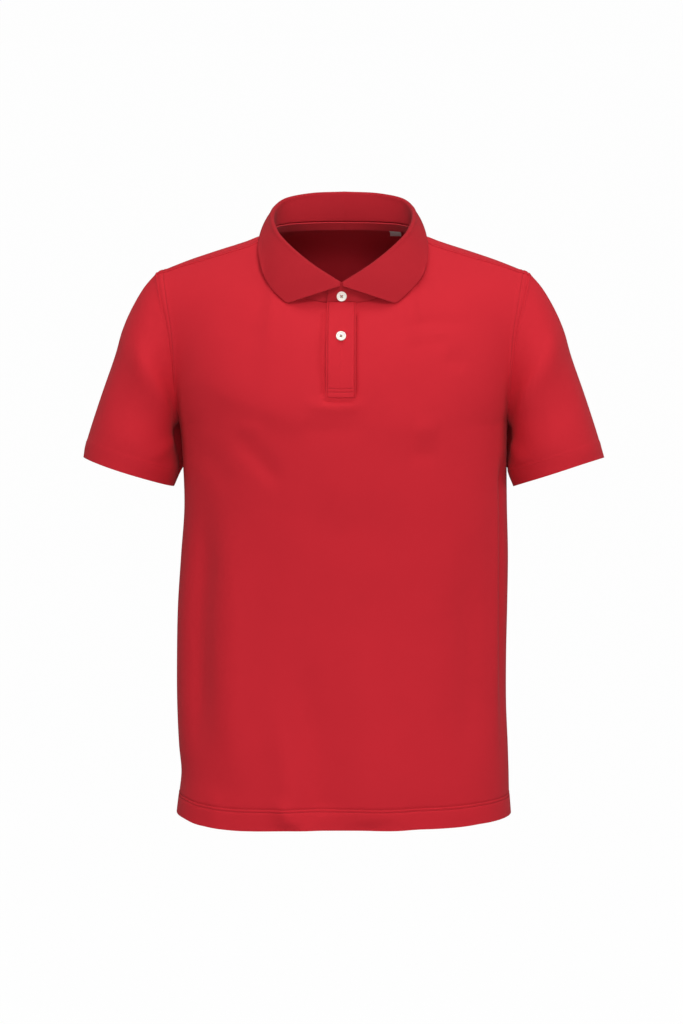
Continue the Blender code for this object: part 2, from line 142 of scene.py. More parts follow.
def signs(span: Array) -> Array:
    """-1 on the wearer's right and 1 on the left."""
    return np.where(span < 0, -1.0, 1.0)


def nearest(values: Array, wanted: float) -> int:
    """The place of the value nearest to the one wanted."""
    return int(np.argmin(np.abs(values - wanted)))


def lengths(points: Array) -> Array:
    """How far along a line each of its points lies."""
    return np.concatenate([[0.0], np.cumsum(np.linalg.norm(np.diff(points, axis=0), axis=1))])


def resample(points: Array, at: Array) -> Array:
    """Points of a line at shares of its length."""
    way = lengths(points)
    return np.stack([np.interp(at, way / way[-1], points[:, k]) for k in range(3)], axis=-1)


def mirrors(side: Array) -> Array:
    """What points given for the wearer's left are multiplied by, for sides of -1 and 1."""
    return np.stack([side, np.ones(side.shape), np.ones(side.shape)], axis=-1)


def turned(points: Array, side: Side) -> Array:
    """Points given for the wearer's left, on the side asked for."""
    return points * (side.value, 1, 1)


@dataclass(frozen=True)
class Crease:
    """A soft trough or ridge along a smooth line on a piece of cloth, in millimetres.

    Attributes:
        line: The line's points, as across, up, across, up and so on.
        reach: How far it spreads beside the line.
        rise: How high it lifts the cloth, below 0 for a trough.
        far_reach: How far it spreads on the line's left, if that differs.
        fade: The shares of the line over which it starts and ends.
    """

    line: tuple[float, ...]
    reach: float
    rise: float
    far_reach: float | None = None
    fade: Pair = (0.35, 0.35)

    def on(self, across: Array, up: Array) -> Array:
        """How far this crease lifts the cloth.

        Args:
            across: The panel's first coordinate at each point.
            up: Its second coordinate at each point.

        Returns:
            The lift in metres, below 0 in a trough.
        """
        knots = np.reshape(self.line, (-1, 2)) / 1000
        share = np.linspace(0, 1, len(knots))
        dense = curve(np.column_stack([share, knots]), np.linspace(0, 1, 48)) if len(knots) > 2 else knots
        best = np.full(across.shape, 1e9)
        along = np.zeros(across.shape)
        side = np.zeros(across.shape)
        way = lengths(dense)
        for k, (a, b) in enumerate(zip(dense[:-1], dense[1:])):
            run = b - a
            size = float(run @ run)
            t = np.clip(((across - a[0]) * run[0] + (up - a[1]) * run[1]) / size, 0, 1)
            dx, dz = across - a[0] - t * run[0], up - a[1] - t * run[1]
            far = dx * dx + dz * dz
            nearer = far < best
            best = np.where(nearer, far, best)
            along = np.where(nearer, (way[k] + t * math.sqrt(size)) / way[-1], along)
            side = np.where(nearer, run[0] * (up - a[1]) - run[1] * (across - a[0]), side)
        reach = np.where(side > 0, self.far_reach or self.reach, self.reach) / 1000
        start, end = self.fade
        ends = step(along, 0, max(start, 1e-3)) * step(1 - along, 0, max(end, 1e-3))
        return self.rise / 1000 * np.exp(-best / (reach * reach)) * ends


def creases(*rows: Sequence[Any]) -> tuple[Crease, ...]:
    """Creases from rows of their attributes."""
    return tuple(Crease(*row) for row in rows)


def folded(creases: Iterable[Crease], across: Array, up: Array) -> Array:
    """The lift of several creases together."""
    return sum((crease.on(across, up) for crease in creases), np.zeros(across.shape))


@dataclass
class Cloth:
    """A sheet of points, rows going up and columns going right as seen from outside.

    Attributes:
        points: Rows x columns x 3.
        closed: True if the last column is the first again, as round an arm.
    """

    points: Array
    closed: bool = False

    def normals(self) -> Array:
        """Directions out of the cloth at each point."""
        across = np.gradient(self.points, axis=1)
        if self.closed:
            ring = self.points[:, :-1]
            across = np.roll(ring, -1, axis=1) - np.roll(ring, 1, axis=1)
            across = np.concatenate([across, across[:, :1]], axis=1)
        return unit(np.cross(across, np.gradient(self.points, axis=0)))

    def lifted(self, height: Array | float) -> Cloth:
        """The same sheet moved out by a height in metres, which may differ from point to point."""
        amount = np.broadcast_to(height, self.points.shape[:2])
        return Cloth(self.points + self.normals() * amount[..., None], self.closed)

    def cut(self) -> Array:
        """Where each point lies on the flat cloth, in metres: across from the middle column, and up."""
        across = np.linalg.norm(np.diff(self.points, axis=1), axis=2)
        across = np.concatenate([np.zeros((len(across), 1)), np.cumsum(across, axis=1)], axis=1)
        across -= across[:, across.shape[1] // 2][:, None]
        up = np.linalg.norm(np.diff(self.points, axis=0), axis=2)
        up = np.concatenate([np.zeros((1, up.shape[1])), np.cumsum(up, axis=0)], axis=0)
        return np.stack([across, up], axis=-1)

    def along_row(self, at: int, lift: float = 0.0001) -> Array:
        """The line along a row, lifted off the cloth."""
        return self.points[at] + self.normals()[at] * lift

    def along_column(self, at: int, lift: float = 0.0001) -> Array:
        """The line along a column, lifted off the cloth."""
        return self.points[:, at] + self.normals()[:, at] * lift


# ------------------------------------------------------------------------------------------ modelling


def deselect() -> None:
    """Deselects every object."""
    bpy.ops.object.select_all(action="DESELECT")


def choose(piece: bpy.types.Object) -> None:
    """Makes one piece the only one selected, and the active one."""
    deselect()
    piece.select_set(True)
    bpy.context.view_layer.objects.active = piece


@contextmanager
def editing(select_all: bool = False) -> Iterator[None]:
    """Edit mode for the active piece, and then object mode again."""
    bpy.ops.object.mode_set(mode="EDIT")
    if select_all:
        bpy.ops.mesh.select_all(action="SELECT")
    yield
    bpy.ops.object.mode_set(mode="OBJECT")


def positions(mesh: bpy.types.Mesh) -> Array:
    """The points of a mesh, one in a row."""
    flat = np.zeros(len(mesh.vertices) * 3)
    mesh.vertices.foreach_get("co", flat)
    return flat.reshape(-1, 3)


def select_faces(mesh: bpy.types.Mesh, chosen: Array) -> None:
    """Selects faces of a mesh, in object mode, and nothing else.

    Args:
        mesh: The mesh.
        chosen: True for each face to select.
    """
    mesh.vertices.foreach_set("select", np.zeros(len(mesh.vertices), bool))
    mesh.edges.foreach_set("select", np.zeros(len(mesh.edges), bool))
    mesh.polygons.foreach_set("select", np.asarray(chosen, bool))


def apply_modifier(piece: bpy.types.Object, name: str, kind: str, **settings: Any) -> None:
    """Adds a modifier with its settings and applies it.

    Args:
        piece: The object.
        name: The modifier's name.
        kind: Its type.
        **settings: Its properties.
    """
    modifier = piece.modifiers.new(name, kind)
    for key, value in settings.items():
        setattr(modifier, key, value)
    choose(piece)
    bpy.ops.object.modifier_apply(modifier=name)


def bevel(piece: bpy.types.Object, width: float, segments: int, degrees: float) -> None:
    """Rounds the edges of a piece that are sharper than an angle."""
    sharp = {"limit_method": "ANGLE", "angle_limit": math.radians(degrees)}
    apply_modifier(piece, "edge", "BEVEL", width=width, segments=segments, **sharp)


def smooth(piece: bpy.types.Object, degrees: float = 40.0) -> None:
    """Shades a piece smooth, but for its sharp edges."""
    choose(piece)
    bpy.ops.object.shade_smooth_by_angle(angle=math.radians(degrees))


def sew(
    name: str,
    cloth: Cloth,
    thickness: float,
    cells: Array | None = None,
    inner: Array | None = None,
    edge: float = 0.3,
) -> bpy.types.Object:
    """Makes a piece of cloth from a sheet.

    Args:
        name: The piece's name.
        cloth: Its outer side.
        thickness: Its thickness, kept on the inner side.
        cells: True for each cell of the sheet that there is; all of them if left out.
        inner: For each point, the share of the thickness that it has.
        edge: How round its edges are, as a share of the thickness.

    Returns:
        The piece.
    """
    rows, columns = cloth.points.shape[:2]
    deselect()
    bpy.ops.mesh.primitive_grid_add(
        x_subdivisions=columns - 1, y_subdivisions=rows - 1, size=1, calc_uvs=True
    )
    piece = bpy.context.object
    piece.name = name
    mesh = piece.data
    mesh.name = name
    corners = np.zeros(len(mesh.loops), int)
    mesh.loops.foreach_get("vertex_index", corners)
    mesh.uv_layers[0].data.foreach_set("uv", cloth.cut().reshape(-1, 2)[corners].ravel())
    mesh.vertices.foreach_set("co", cloth.points.reshape(-1, 3).ravel())
    thick = piece.vertex_groups.new(name="thickness")
    share = np.ones(rows * columns) if inner is None else inner.reshape(-1)
    for value in np.unique(share):
        thick.add(np.flatnonzero(share == value).tolist(), float(value), "REPLACE")
    mesh.update()
    if cells is not None:
        select_faces(mesh, ~cells.reshape(-1))
        with editing():
            bpy.ops.mesh.select_mode(type="FACE")
            bpy.ops.mesh.delete(type="FACE")
    if cloth.closed:
        with editing(select_all=True):
            bpy.ops.mesh.remove_doubles(threshold=1e-5)
    solid = {"offset": -1.0, "use_quality_normals": True, "vertex_group": "thickness"}
    apply_modifier(piece, "thickness", "SOLIDIFY", thickness=thickness, **solid)
    bevel(piece, thickness * edge, 2, 55)
    piece.vertex_groups.clear()
    smooth(piece)
    return piece


def join(name: str, pieces: list[bpy.types.Object]) -> bpy.types.Object:
    """Joins pieces into one and names it."""
    choose(pieces[0])
    for piece in pieces:
        piece.select_set(True)
    if len(pieces) > 1:
        bpy.ops.object.join()
    piece = bpy.context.object
    piece.name = name
    piece.data.name = name
    return piece


@dataclass(frozen=True)
class Stitch:
    """One kind of stitch; its thread lies a little flat on the cloth."""

    pitch: float = 0.0030
    length: float = 0.0024
    thread: float = 0.00042
    flat: float = 1.25
    sides: int = 6

    def row(self, path: Array) -> bpy.types.Object:
        """A row of stitches.

        Args:
            path: Points of the line it follows, on the cloth.

        Returns:
            The stitches as one mesh.
        """
        deselect()
        bpy.ops.curve.primitive_bezier_curve_add()
        guide = bpy.context.object
        guide.data.splines.clear()
        guide.data.dimensions = "3D"
        line = guide.data.splines.new("POLY")
        line.points.add(len(path) - 1)
        line.points.foreach_set("co", np.column_stack([path, np.ones(len(path))]).ravel())
        deselect()
        bpy.ops.mesh.primitive_uv_sphere_add(
            segments=self.sides,
            ring_count=4,
            radius=0.5,
            rotation=(0, math.pi / 2, 0),
            location=(self.length / 2, 0, 0),
        )
        piece = bpy.context.object
        piece.scale = (self.thread, self.thread * self.flat, self.length)
        bpy.ops.object.transform_apply(location=True, rotation=True, scale=True)
        count = max(1, int(lengths(path)[-1] / self.pitch))
        repeat = {"fit_type": "FIXED_COUNT", "use_relative_offset": False, "use_constant_offset": True}
        offset = (self.pitch, 0, 0)
        apply_modifier(piece, "row", "ARRAY", count=count, constant_offset_displace=offset, **repeat)
        apply_modifier(piece, "route", "CURVE", object=guide, deform_axis="POS_X")
        bpy.data.objects.remove(guide)
        choose(piece)
        bpy.ops.object.shade_smooth()
        return piece


# ------------------------------------------------------------------------------------------ materials


class Value:
    """A socket that takes part in Python expressions."""

    def __init__(self, graph: Graph, socket: bpy.types.NodeSocket) -> None:
        """Keeps a socket.

        Args:
            graph: The material's graph.
            socket: An output.
        """
        self.graph = graph
        self.socket = socket

    def _maths(self, operation: str, *values: Value | float) -> Value:
        """A Math node on this value and others."""
        return self.graph.node("ShaderNodeMath", {"operation": operation}, values)

    def __add__(self, other: Value | float) -> Value:
        """This plus the other."""
        return self._maths("ADD", self, other)

    __radd__ = __add__

    def __sub__(self, other: Value | float) -> Value:
        """This less the other."""
        return self._maths("SUBTRACT", self, other)

    def __rsub__(self, other: float) -> Value:
        """The other less this."""
        return self._maths("SUBTRACT", other, self)

    def __mul__(self, other: Value | float) -> Value:
        """This times the other."""
        return self._maths("MULTIPLY", self, other)

    __rmul__ = __mul__

    def wave(self, pitch: float) -> Value:
        """Rises and falls between 0 and 1, once in each pitch."""
        return 0.5 + 0.5 * self._maths("SINE", self * (math.tau / pitch))


class Graph:
    """The nodes of one material."""

    def __init__(self, name: str) -> None:
        """Starts a material with its shader.

        Args:
            name: The material's name.
        """
        self.material = bpy.data.materials.new(name)
        self.material.use_nodes = True
        self.tree = self.material.node_tree
        self.shader = self.tree.nodes["Principled BSDF"]

    def node(
        self,
        kind: str,
        settings: dict[str, Any] | None = None,
        values: Sequence[Any] | dict[str, Any] = (),
        output: int | str = 0,
    ) -> Value:
        """Adds a node.

        Args:
            kind: Its type.
            settings: Its properties.
            values: What goes into its sockets, in order or by name: values or numbers.
            output: Which of its outputs is wanted.

        Returns:
            That output.
        """
        node = self.tree.nodes.new(kind)
        for key, setting in (settings or {}).items():
            setattr(node, key, setting)
        pairs = values.items() if isinstance(values, dict) else enumerate(values)
        for socket, value in pairs:
            self.feed(node.inputs[socket], value)
        return Value(self, node.outputs[output])

    def feed(self, socket: bpy.types.NodeSocket, value: Any) -> None:
        """Links a value to a socket, or sets the socket to a number, vector or colour."""
        if isinstance(value, Value):
            self.tree.links.new(value.socket, socket)
        else:
            socket.default_value = value

    def set(self, **values: Any) -> None:
        """Feeds the shader's sockets, named with _ for a space."""
        for name, value in values.items():
            self.feed(self.shader.inputs[name.replace("_", " ").title().replace("Ior", "IOR")], value)

    def cut(self) -> tuple[Value, Value]:
        """The place on the flat cloth, in metres: across, and up."""
        cut = self.node("ShaderNodeUVMap", {"uv_map": "UVMap"})
        parts = self.node("ShaderNodeSeparateXYZ", values=(cut,))
        return parts, Value(self, parts.socket.node.outputs[1])

    def noise(self, scale: float, detail: float = 1.0) -> Value:
        """A cloudy value between 0 and 1, with lumps of about 1 / scale metres."""
        place = self.node("ShaderNodeTexCoord", output="Object")
        values = {"Vector": place, "Scale": scale, "Detail": detail, "Roughness": 0.5}
        return self.node("ShaderNodeTexNoise", values=values)

    def mix(self, share: Value, low: Colour, high: Colour) -> Value:
        """A colour between two, by a share."""
        values = {"Factor": share, 6: (*low, 1.0), 7: (*high, 1.0)}
        return self.node("ShaderNodeMix", {"data_type": "RGBA"}, values, output=2)

    def bump(self, height: Value, distance: float, strength: float, under: Value | None = None) -> Value:
        """Normals that follow a height.

        Args:
            height: The height, as a share of the distance.
            distance: Its size in metres.
            strength: From 0 to 1.
            under: Normals of a coarser bump that this one lies on.

        Returns:
            The normals.
        """
        values = {"Height": height, "Distance": distance, "Strength": strength}
        if under is not None:
            values["Normal"] = under
        return self.node("ShaderNodeBump", values=values)


@dataclass(frozen=True)
class Finish:
    """What a piece is made of.

    Attributes:
        name: The material's name.
        slot: The record's slot; not used.
        colour: Its colour where its texture is fullest, in linear light.
        shade: Its colour in the hollows of its texture; on the knit this darker colour is painted shade.
    """

    name: str
    slot: str
    colour: Colour
    shade: Colour

    def build(self) -> bpy.types.Material:
        """Makes the material."""
        graph = Graph(self.name)
        self.fill(graph)
        return graph.material

    def fill(self, graph: Graph) -> None:
        """Lays this finish out as nodes."""
        raise NotImplementedError


@dataclass(frozen=True)
class Knit(Finish):
    """A cotton knit, dyed in the piece.

    Attributes:
        cell: Width and height of one repeat of the knit, in metres.
        depth: How deep its hollows are, in metres.
    """

    cell: Pair = (0.0014, 0.0016)
    depth: float = 0.00022

    def fill(self, graph: Graph) -> None:
        """A honeycomb of small cells, with soft uneven lumps under it; its colour is painted with their
        shade, darker in the cells' hollows and between the lumps.
        """
        across, up = graph.cut()
        width, height = self.cell
        pattern = across.wave(width) * up.wave(height) + (1 - across.wave(width)) * (1 - up.wave(height))
        soft = graph.noise(26.0, 2.0)
        fuzz = graph.noise(1400.0)
        # painted shade: the colour follows the soft lumps of the bump below, lighter on them and darker
        # between them
        lump_shade = (soft - 0.5) * 0.18
        # painted shade in the knit's hollows: the honeycomb that raises the cells in the bump also darkens
        # the colour between them; the fine fuzz is the yarn's own uneven tone
        graph.set(base_color=graph.mix(pattern * 0.75 + fuzz * 0.2 + lump_shade, self.shade, self.colour))
        graph.set(roughness=0.86 - pattern * 0.1, specular_ior_level=0.16)
        graph.set(sheen_weight=0.05, sheen_roughness=0.45, sheen_tint=(1.0, 0.55, 0.55, 1.0))
        lumps = graph.bump(soft, 0.0012, 0.35)
        graph.set(normal=graph.bump(pattern * 0.8 + fuzz * 0.2, self.depth, 0.7, lumps))


@dataclass(frozen=True)
class Tape(Finish):
    """A narrow woven tape or label."""

    pitch: float = 0.0009

    def fill(self, graph: Graph) -> None:
        """Fine twill lines."""
        across, up = graph.cut()
        twill = (across + up * 0.8).wave(self.pitch)
        fuzz = graph.noise(900.0)
        graph.set(base_color=graph.mix(twill * 0.7 + fuzz * 0.3, self.shade, self.colour))
        graph.set(roughness=0.8, specular_ior_level=0.25, sheen_weight=0.1)
        graph.set(normal=graph.bump(twill, 0.00012, 0.6))


@dataclass(frozen=True)
class Thread(Finish):
    """Sewing thread."""

    def fill(self, graph: Graph) -> None:
        """Fine twisted strands."""
        strands = graph.noise(2600.0)
        graph.set(base_color=graph.mix(strands, self.shade, self.colour))
        graph.set(roughness=0.62, specular_ior_level=0.35)
        graph.set(normal=graph.bump(strands, 0.00008, 0.5))


@dataclass(frozen=True)
class Moulded(Finish):
    """Polyester of the buttons."""

    def fill(self, graph: Graph) -> None:
        """A satin surface, a little cloudy."""
        cloud = graph.noise(240.0, 3.0)
        graph.set(base_color=graph.mix(cloud, self.shade, self.colour))
        graph.set(roughness=0.28 + cloud * 0.12, coat_weight=0.25, coat_roughness=0.2)
        graph.set(subsurface_weight=0.15, subsurface_scale=0.002)
        graph.set(normal=graph.bump(cloud, 0.00005, 0.3))


@dataclass
class Finishes:
    """Every finish of the shirt, made once."""

    knit: Knit = Knit("pique_knit", "body_knit", (0.62, 0.0185, 0.031), (0.48, 0.0125, 0.0225))
    collar: Knit = Knit(
        "collar_knit",
        "collar_knit",
        (0.455, 0.0135, 0.0225),
        (0.355, 0.009, 0.0165),
        (0.0011, 0.0013),
        0.00016,
    )
    # painted light: the tape's colour is the body's red made lighter, for the light that falls on the tape
    # where it stands out inside the neck
    tape: Tape = Tape("neck_tape_twill", "neck_tape", (0.72, 0.024, 0.040), (0.58, 0.018, 0.030))
    label: Tape = Tape("label_weave", "label", (0.92, 0.91, 0.88), (0.82, 0.81, 0.78), 0.0006)
    # painted shade: the sewing thread is the body's red made darker, for the shade in the grooves where the
    # stitches lie
    thread: Thread = Thread("sewing_thread", "body_knit", (0.36, 0.011, 0.018), (0.24, 0.007, 0.012))
    pale_thread: Thread = Thread("button_thread", "button", (0.55, 0.22, 0.14), (0.38, 0.12, 0.08))
    button: Moulded = Moulded("button_resin", "button", (0.90, 0.86, 0.80), (0.80, 0.74, 0.66))
    made: dict[str, bpy.types.Material] = field(default_factory=dict)

    def dress(self, piece: bpy.types.Object, finish: Finish, *nodes: str) -> bpy.types.Object:
        """Gives a piece its finish and its place in the model.

        Args:
            piece: The piece.
            finish: Its finish.
            *nodes: The nodes that it stands for.

        Returns:
            The piece.
        """
        if finish.name not in self.made:
            self.made[finish.name] = finish.build()
        piece.data.materials.clear()
        piece.data.materials.append(self.made[finish.name])
        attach(piece, BODY)
        if nodes:
            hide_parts(*nodes)
        log.info("%s: %d faces", piece.name, len(piece.data.polygons))
        return piece


# --------------------------------------------------------------------------------------------- pieces


@dataclass(frozen=True)
class TorsoForm:
    """The torso's sizes, and its surface under the folds.

    A point has a span, -1 at the right side seam or sleeve, 0 in the middle and 1 at the left, and a level:
    below 0 it is metres under the armpit, from 0 to 1 the share of the way to the upper edge or the ridge
    of the shoulders, and from 1 to 2, on the back, the share of the way over the ridge.
    """

    armpit: float = -0.218
    neck_span: float = 0.46
    # z, half widths seen from the front (left, right), depths (front, back), squareness (left, right)
    sections: Table = (
        (-0.69, 0.1974, 0.2, 0.124, 0.124, 3.1, 2.3),
        (-0.665, 0.1945, 0.1982, 0.124, 0.1232, 3.1, 2.3),
        (-0.64, 0.1922, 0.1976, 0.124, 0.122, 3.0, 2.3),
        (-0.607, 0.195, 0.1965, 0.123, 0.118, 2.9, 2.3),
        (-0.56, 0.1972, 0.1945, 0.1215, 0.113, 2.8, 2.3),
        (-0.5, 0.1975, 0.1943, 0.121, 0.109, 2.7, 2.3),
        (-0.44, 0.1962, 0.1954, 0.122, 0.108, 2.6, 2.3),
        (-0.38, 0.1922, 0.196, 0.1255, 0.112, 2.5, 2.35),
        (-0.32, 0.188, 0.1945, 0.1305, 0.12, 2.4, 2.4),
        (-0.27, 0.1895, 0.194, 0.134, 0.127, 2.4, 2.4),
        (-0.24, 0.1915, 0.1943, 0.1352, 0.1305, 2.4, 2.4),
        (-0.218, 0.194, 0.195, 0.1355, 0.132, 2.4, 2.4),
    )
    # share of the way up, x, y, z
    armhole_front: Table = (
        (0.0, 0.1945, 0.0, -0.218), (0.11, 0.1948, -0.023, -0.2115), (0.22, 0.1955, -0.04, -0.197),
        (0.36, 0.198, -0.0505, -0.17), (0.5, 0.2012, -0.054, -0.14), (0.64, 0.2058, -0.0515, -0.11),
        (0.77, 0.212, -0.043, -0.083), (0.89, 0.2165, -0.0295, -0.0625), (1.0, 0.2195, -0.014, -0.0482),
    )
    armhole_back: Table = (
        (0.0, 0.1945, 0.0, -0.218), (0.11, 0.1945, 0.025, -0.212), (0.23, 0.1945, 0.045, -0.195),
        (0.38, 0.1955, 0.058, -0.166), (0.53, 0.199, 0.064, -0.134), (0.68, 0.2045, 0.061, -0.102),
        (0.83, 0.211, 0.05, -0.073), (0.93, 0.2165, 0.029, -0.0528), (1.0, 0.2195, 0.004, -0.0462),
    )
    # share of the way from the middle to the sleeve, x, y, z
    front_edge: Table = (
        (0.0, 0.0, -0.088, -0.0755), (0.12, 0.025, -0.0865, -0.0742), (0.23, 0.0475, -0.08, -0.0665),
        (0.32, 0.0662, -0.0645, -0.0455), (0.4, 0.08, -0.0435, -0.0218),
        (0.46, 0.0872, -0.024, -0.0065), (0.56, 0.108, -0.0255, -0.0128), (0.72, 0.144, -0.025, -0.024),
        (0.88, 0.185, -0.02, -0.0363), (1.0, 0.2195, -0.014, -0.0482),
    )
    back_neck: Table = (
        (0.0, 0.0, 0.075, 0.01), (0.12, 0.027, 0.0715, 0.01), (0.23, 0.052, 0.0605, 0.0098),
        (0.32, 0.07, 0.044, 0.009), (0.4, 0.083, 0.016, 0.0058), (0.46, 0.0872, -0.024, -0.0065),
    )
    ridge: Table = (
        (0.0, 0.0, 0.083, 0.002), (0.12, 0.03, 0.08, 0.0018), (0.23, 0.058, 0.07, 0.001),
        (0.32, 0.077, 0.056, -0.0005), (0.4, 0.0925, 0.038, -0.003), (0.46, 0.1035, 0.023, -0.0062),
        (0.56, 0.121, 0.01, -0.0115), (0.72, 0.15, 0.005, -0.0205), (0.88, 0.186, 0.004, -0.0328),
        (1.0, 0.2195, 0.004, -0.0462),
    )
    # how much the chest bulges in the middle and more at the sides, and how the back meets its front seam
    fullness: float = 1.05
    side_fullness: float = 0.35
    shoulder_arrival: tuple[float, float, float] = (0.0, -0.8925, -0.63)

    def section(self, z: Array, span: Array, facing: Facing) -> Array:
        """Points below the armpit.

        Args:
            z: Their heights.
            span: Their spans.
            facing: Front or back.

        Returns:
            The points.
        """
        left, right, front, back, left_square, right_square = np.moveaxis(curve(self.sections, z), -1, 0)
        turn = span * math.pi / 2
        width = np.where(span < 0, left, right)
        square = np.where(span < 0, left_square, right_square)
        depth = front if facing is Facing.FRONT else back
        across, ahead = np.sin(turn), np.cos(turn)
        reach = (np.abs(across / width) ** square + np.abs(ahead / depth) ** square) ** (-1 / square)
        return np.stack([reach * across, facing.value * reach * ahead, z], axis=-1)

    def half_width(self, y: Array, z: Array, side: Side) -> Array:
        """How far the side of the body lies from the middle, at or below the armpit."""
        sizes = curve(self.sections, np.clip(z, self.sections[0][0], self.armpit))
        left, right, front, back, left_square, right_square = np.moveaxis(sizes, -1, 0)
        width, square = (right, right_square) if side is Side.LEFT else (left, left_square)
        share = np.minimum(np.abs(y) / np.where(y < 0, front, back), 1)
        return width * (1 - share**square) ** (1 / square)

    def edge(self, table: Table, span: Array) -> Array:
        """Points of an upper edge, on the side that each span says."""
        found = curve(table, np.abs(span))
        found[..., 0] *= signs(span)
        return found

    def arrival(self, span: Array, facing: Facing) -> Array:
        """The way a panel arrives at its upper edge or at the ridge."""
        flat = np.zeros(span.shape)
        if facing is Facing.FRONT:
            back = 0.62 + 0.25 * np.minimum(1, np.abs(span) / self.neck_span)
            return unit(np.stack([flat, back, flat + 0.78], axis=-1))
        near = np.maximum(0, 1 - np.abs(span) / self.neck_span)
        return unit(np.stack([flat, flat - 1, 0.05 + 0.45 * near * near * (3 - 2 * near)], axis=-1))

    def free(self, span: Array, rise: Array, facing: Facing) -> Array:
        """The chest without the pull of the sleeves."""
        start = self.section(np.full(span.shape, self.armpit), span, facing)
        end = self.edge(self.front_edge if facing is Facing.FRONT else self.ridge, span)
        full = np.linalg.norm(end - start, axis=-1) * (self.fullness + self.side_fullness * np.abs(span))
        up = np.zeros(start.shape)
        up[..., 2] = full
        return hermite(start, up, end, self.arrival(span, facing) * full[..., None], rise[..., None])

    def chest(self, span: Array, rise: Array, facing: Facing) -> Array:
        """Points between the armpit and the upper edge or the ridge."""
        side = signs(span)
        hole = self.armhole_front if facing is Facing.FRONT else self.armhole_back
        sleeve = curve(hole, rise)
        sleeve[..., 0] *= side
        pull = (np.abs(span) ** 4)[..., None]
        return self.free(span, rise, facing) + pull * (sleeve - self.free(side, rise, facing))

    def over(self, span: Array, share: Array) -> Array:
        """Points of the back from the ridge to the neck and the forward shoulder seam."""
        start = self.chest(span, np.ones(span.shape), Facing.BACK)
        inside = np.minimum(np.abs(span), self.neck_span) * signs(span)
        neck = start + (self.edge(self.back_neck, inside) - start) * share[..., None]
        end = self.edge(self.front_edge, span)
        reach = np.linalg.norm(end - start, axis=-1)[..., None]
        leave, arrive = np.array((0, -1.0, 0)), np.array(self.shoulder_arrival)
        shoulder = hermite(start, leave * reach, end, arrive * reach, share[..., None])
        return np.where((np.abs(span) <= self.neck_span)[..., None], neck, shoulder)

    def points(self, spans: Array, levels: Array, facing: Facing) -> Array:
        """A grid of points.

        Args:
            spans: A span for each column.
            levels: A level for each row.
            facing: Front or back.

        Returns:
            Rows x columns x 3.
        """
        span, level = np.broadcast_arrays(np.asarray(spans, float)[None], np.asarray(levels, float)[:, None])
        low = self.section(self.armpit + np.minimum(level, 0), span, facing)
        high = self.chest(span, np.clip(level, 0, 1), facing)
        found = np.where((level < 0)[..., None], low, high)
        if facing is Facing.BACK:
            found = np.where((level > 1)[..., None], self.over(span, np.clip(level - 1, 0, 1)), found)
        return found

    def line(self, spans: Array, level: float, facing: Facing) -> Array:
        """The points of one level."""
        return self.points(spans, np.array((level,)), facing)[0]


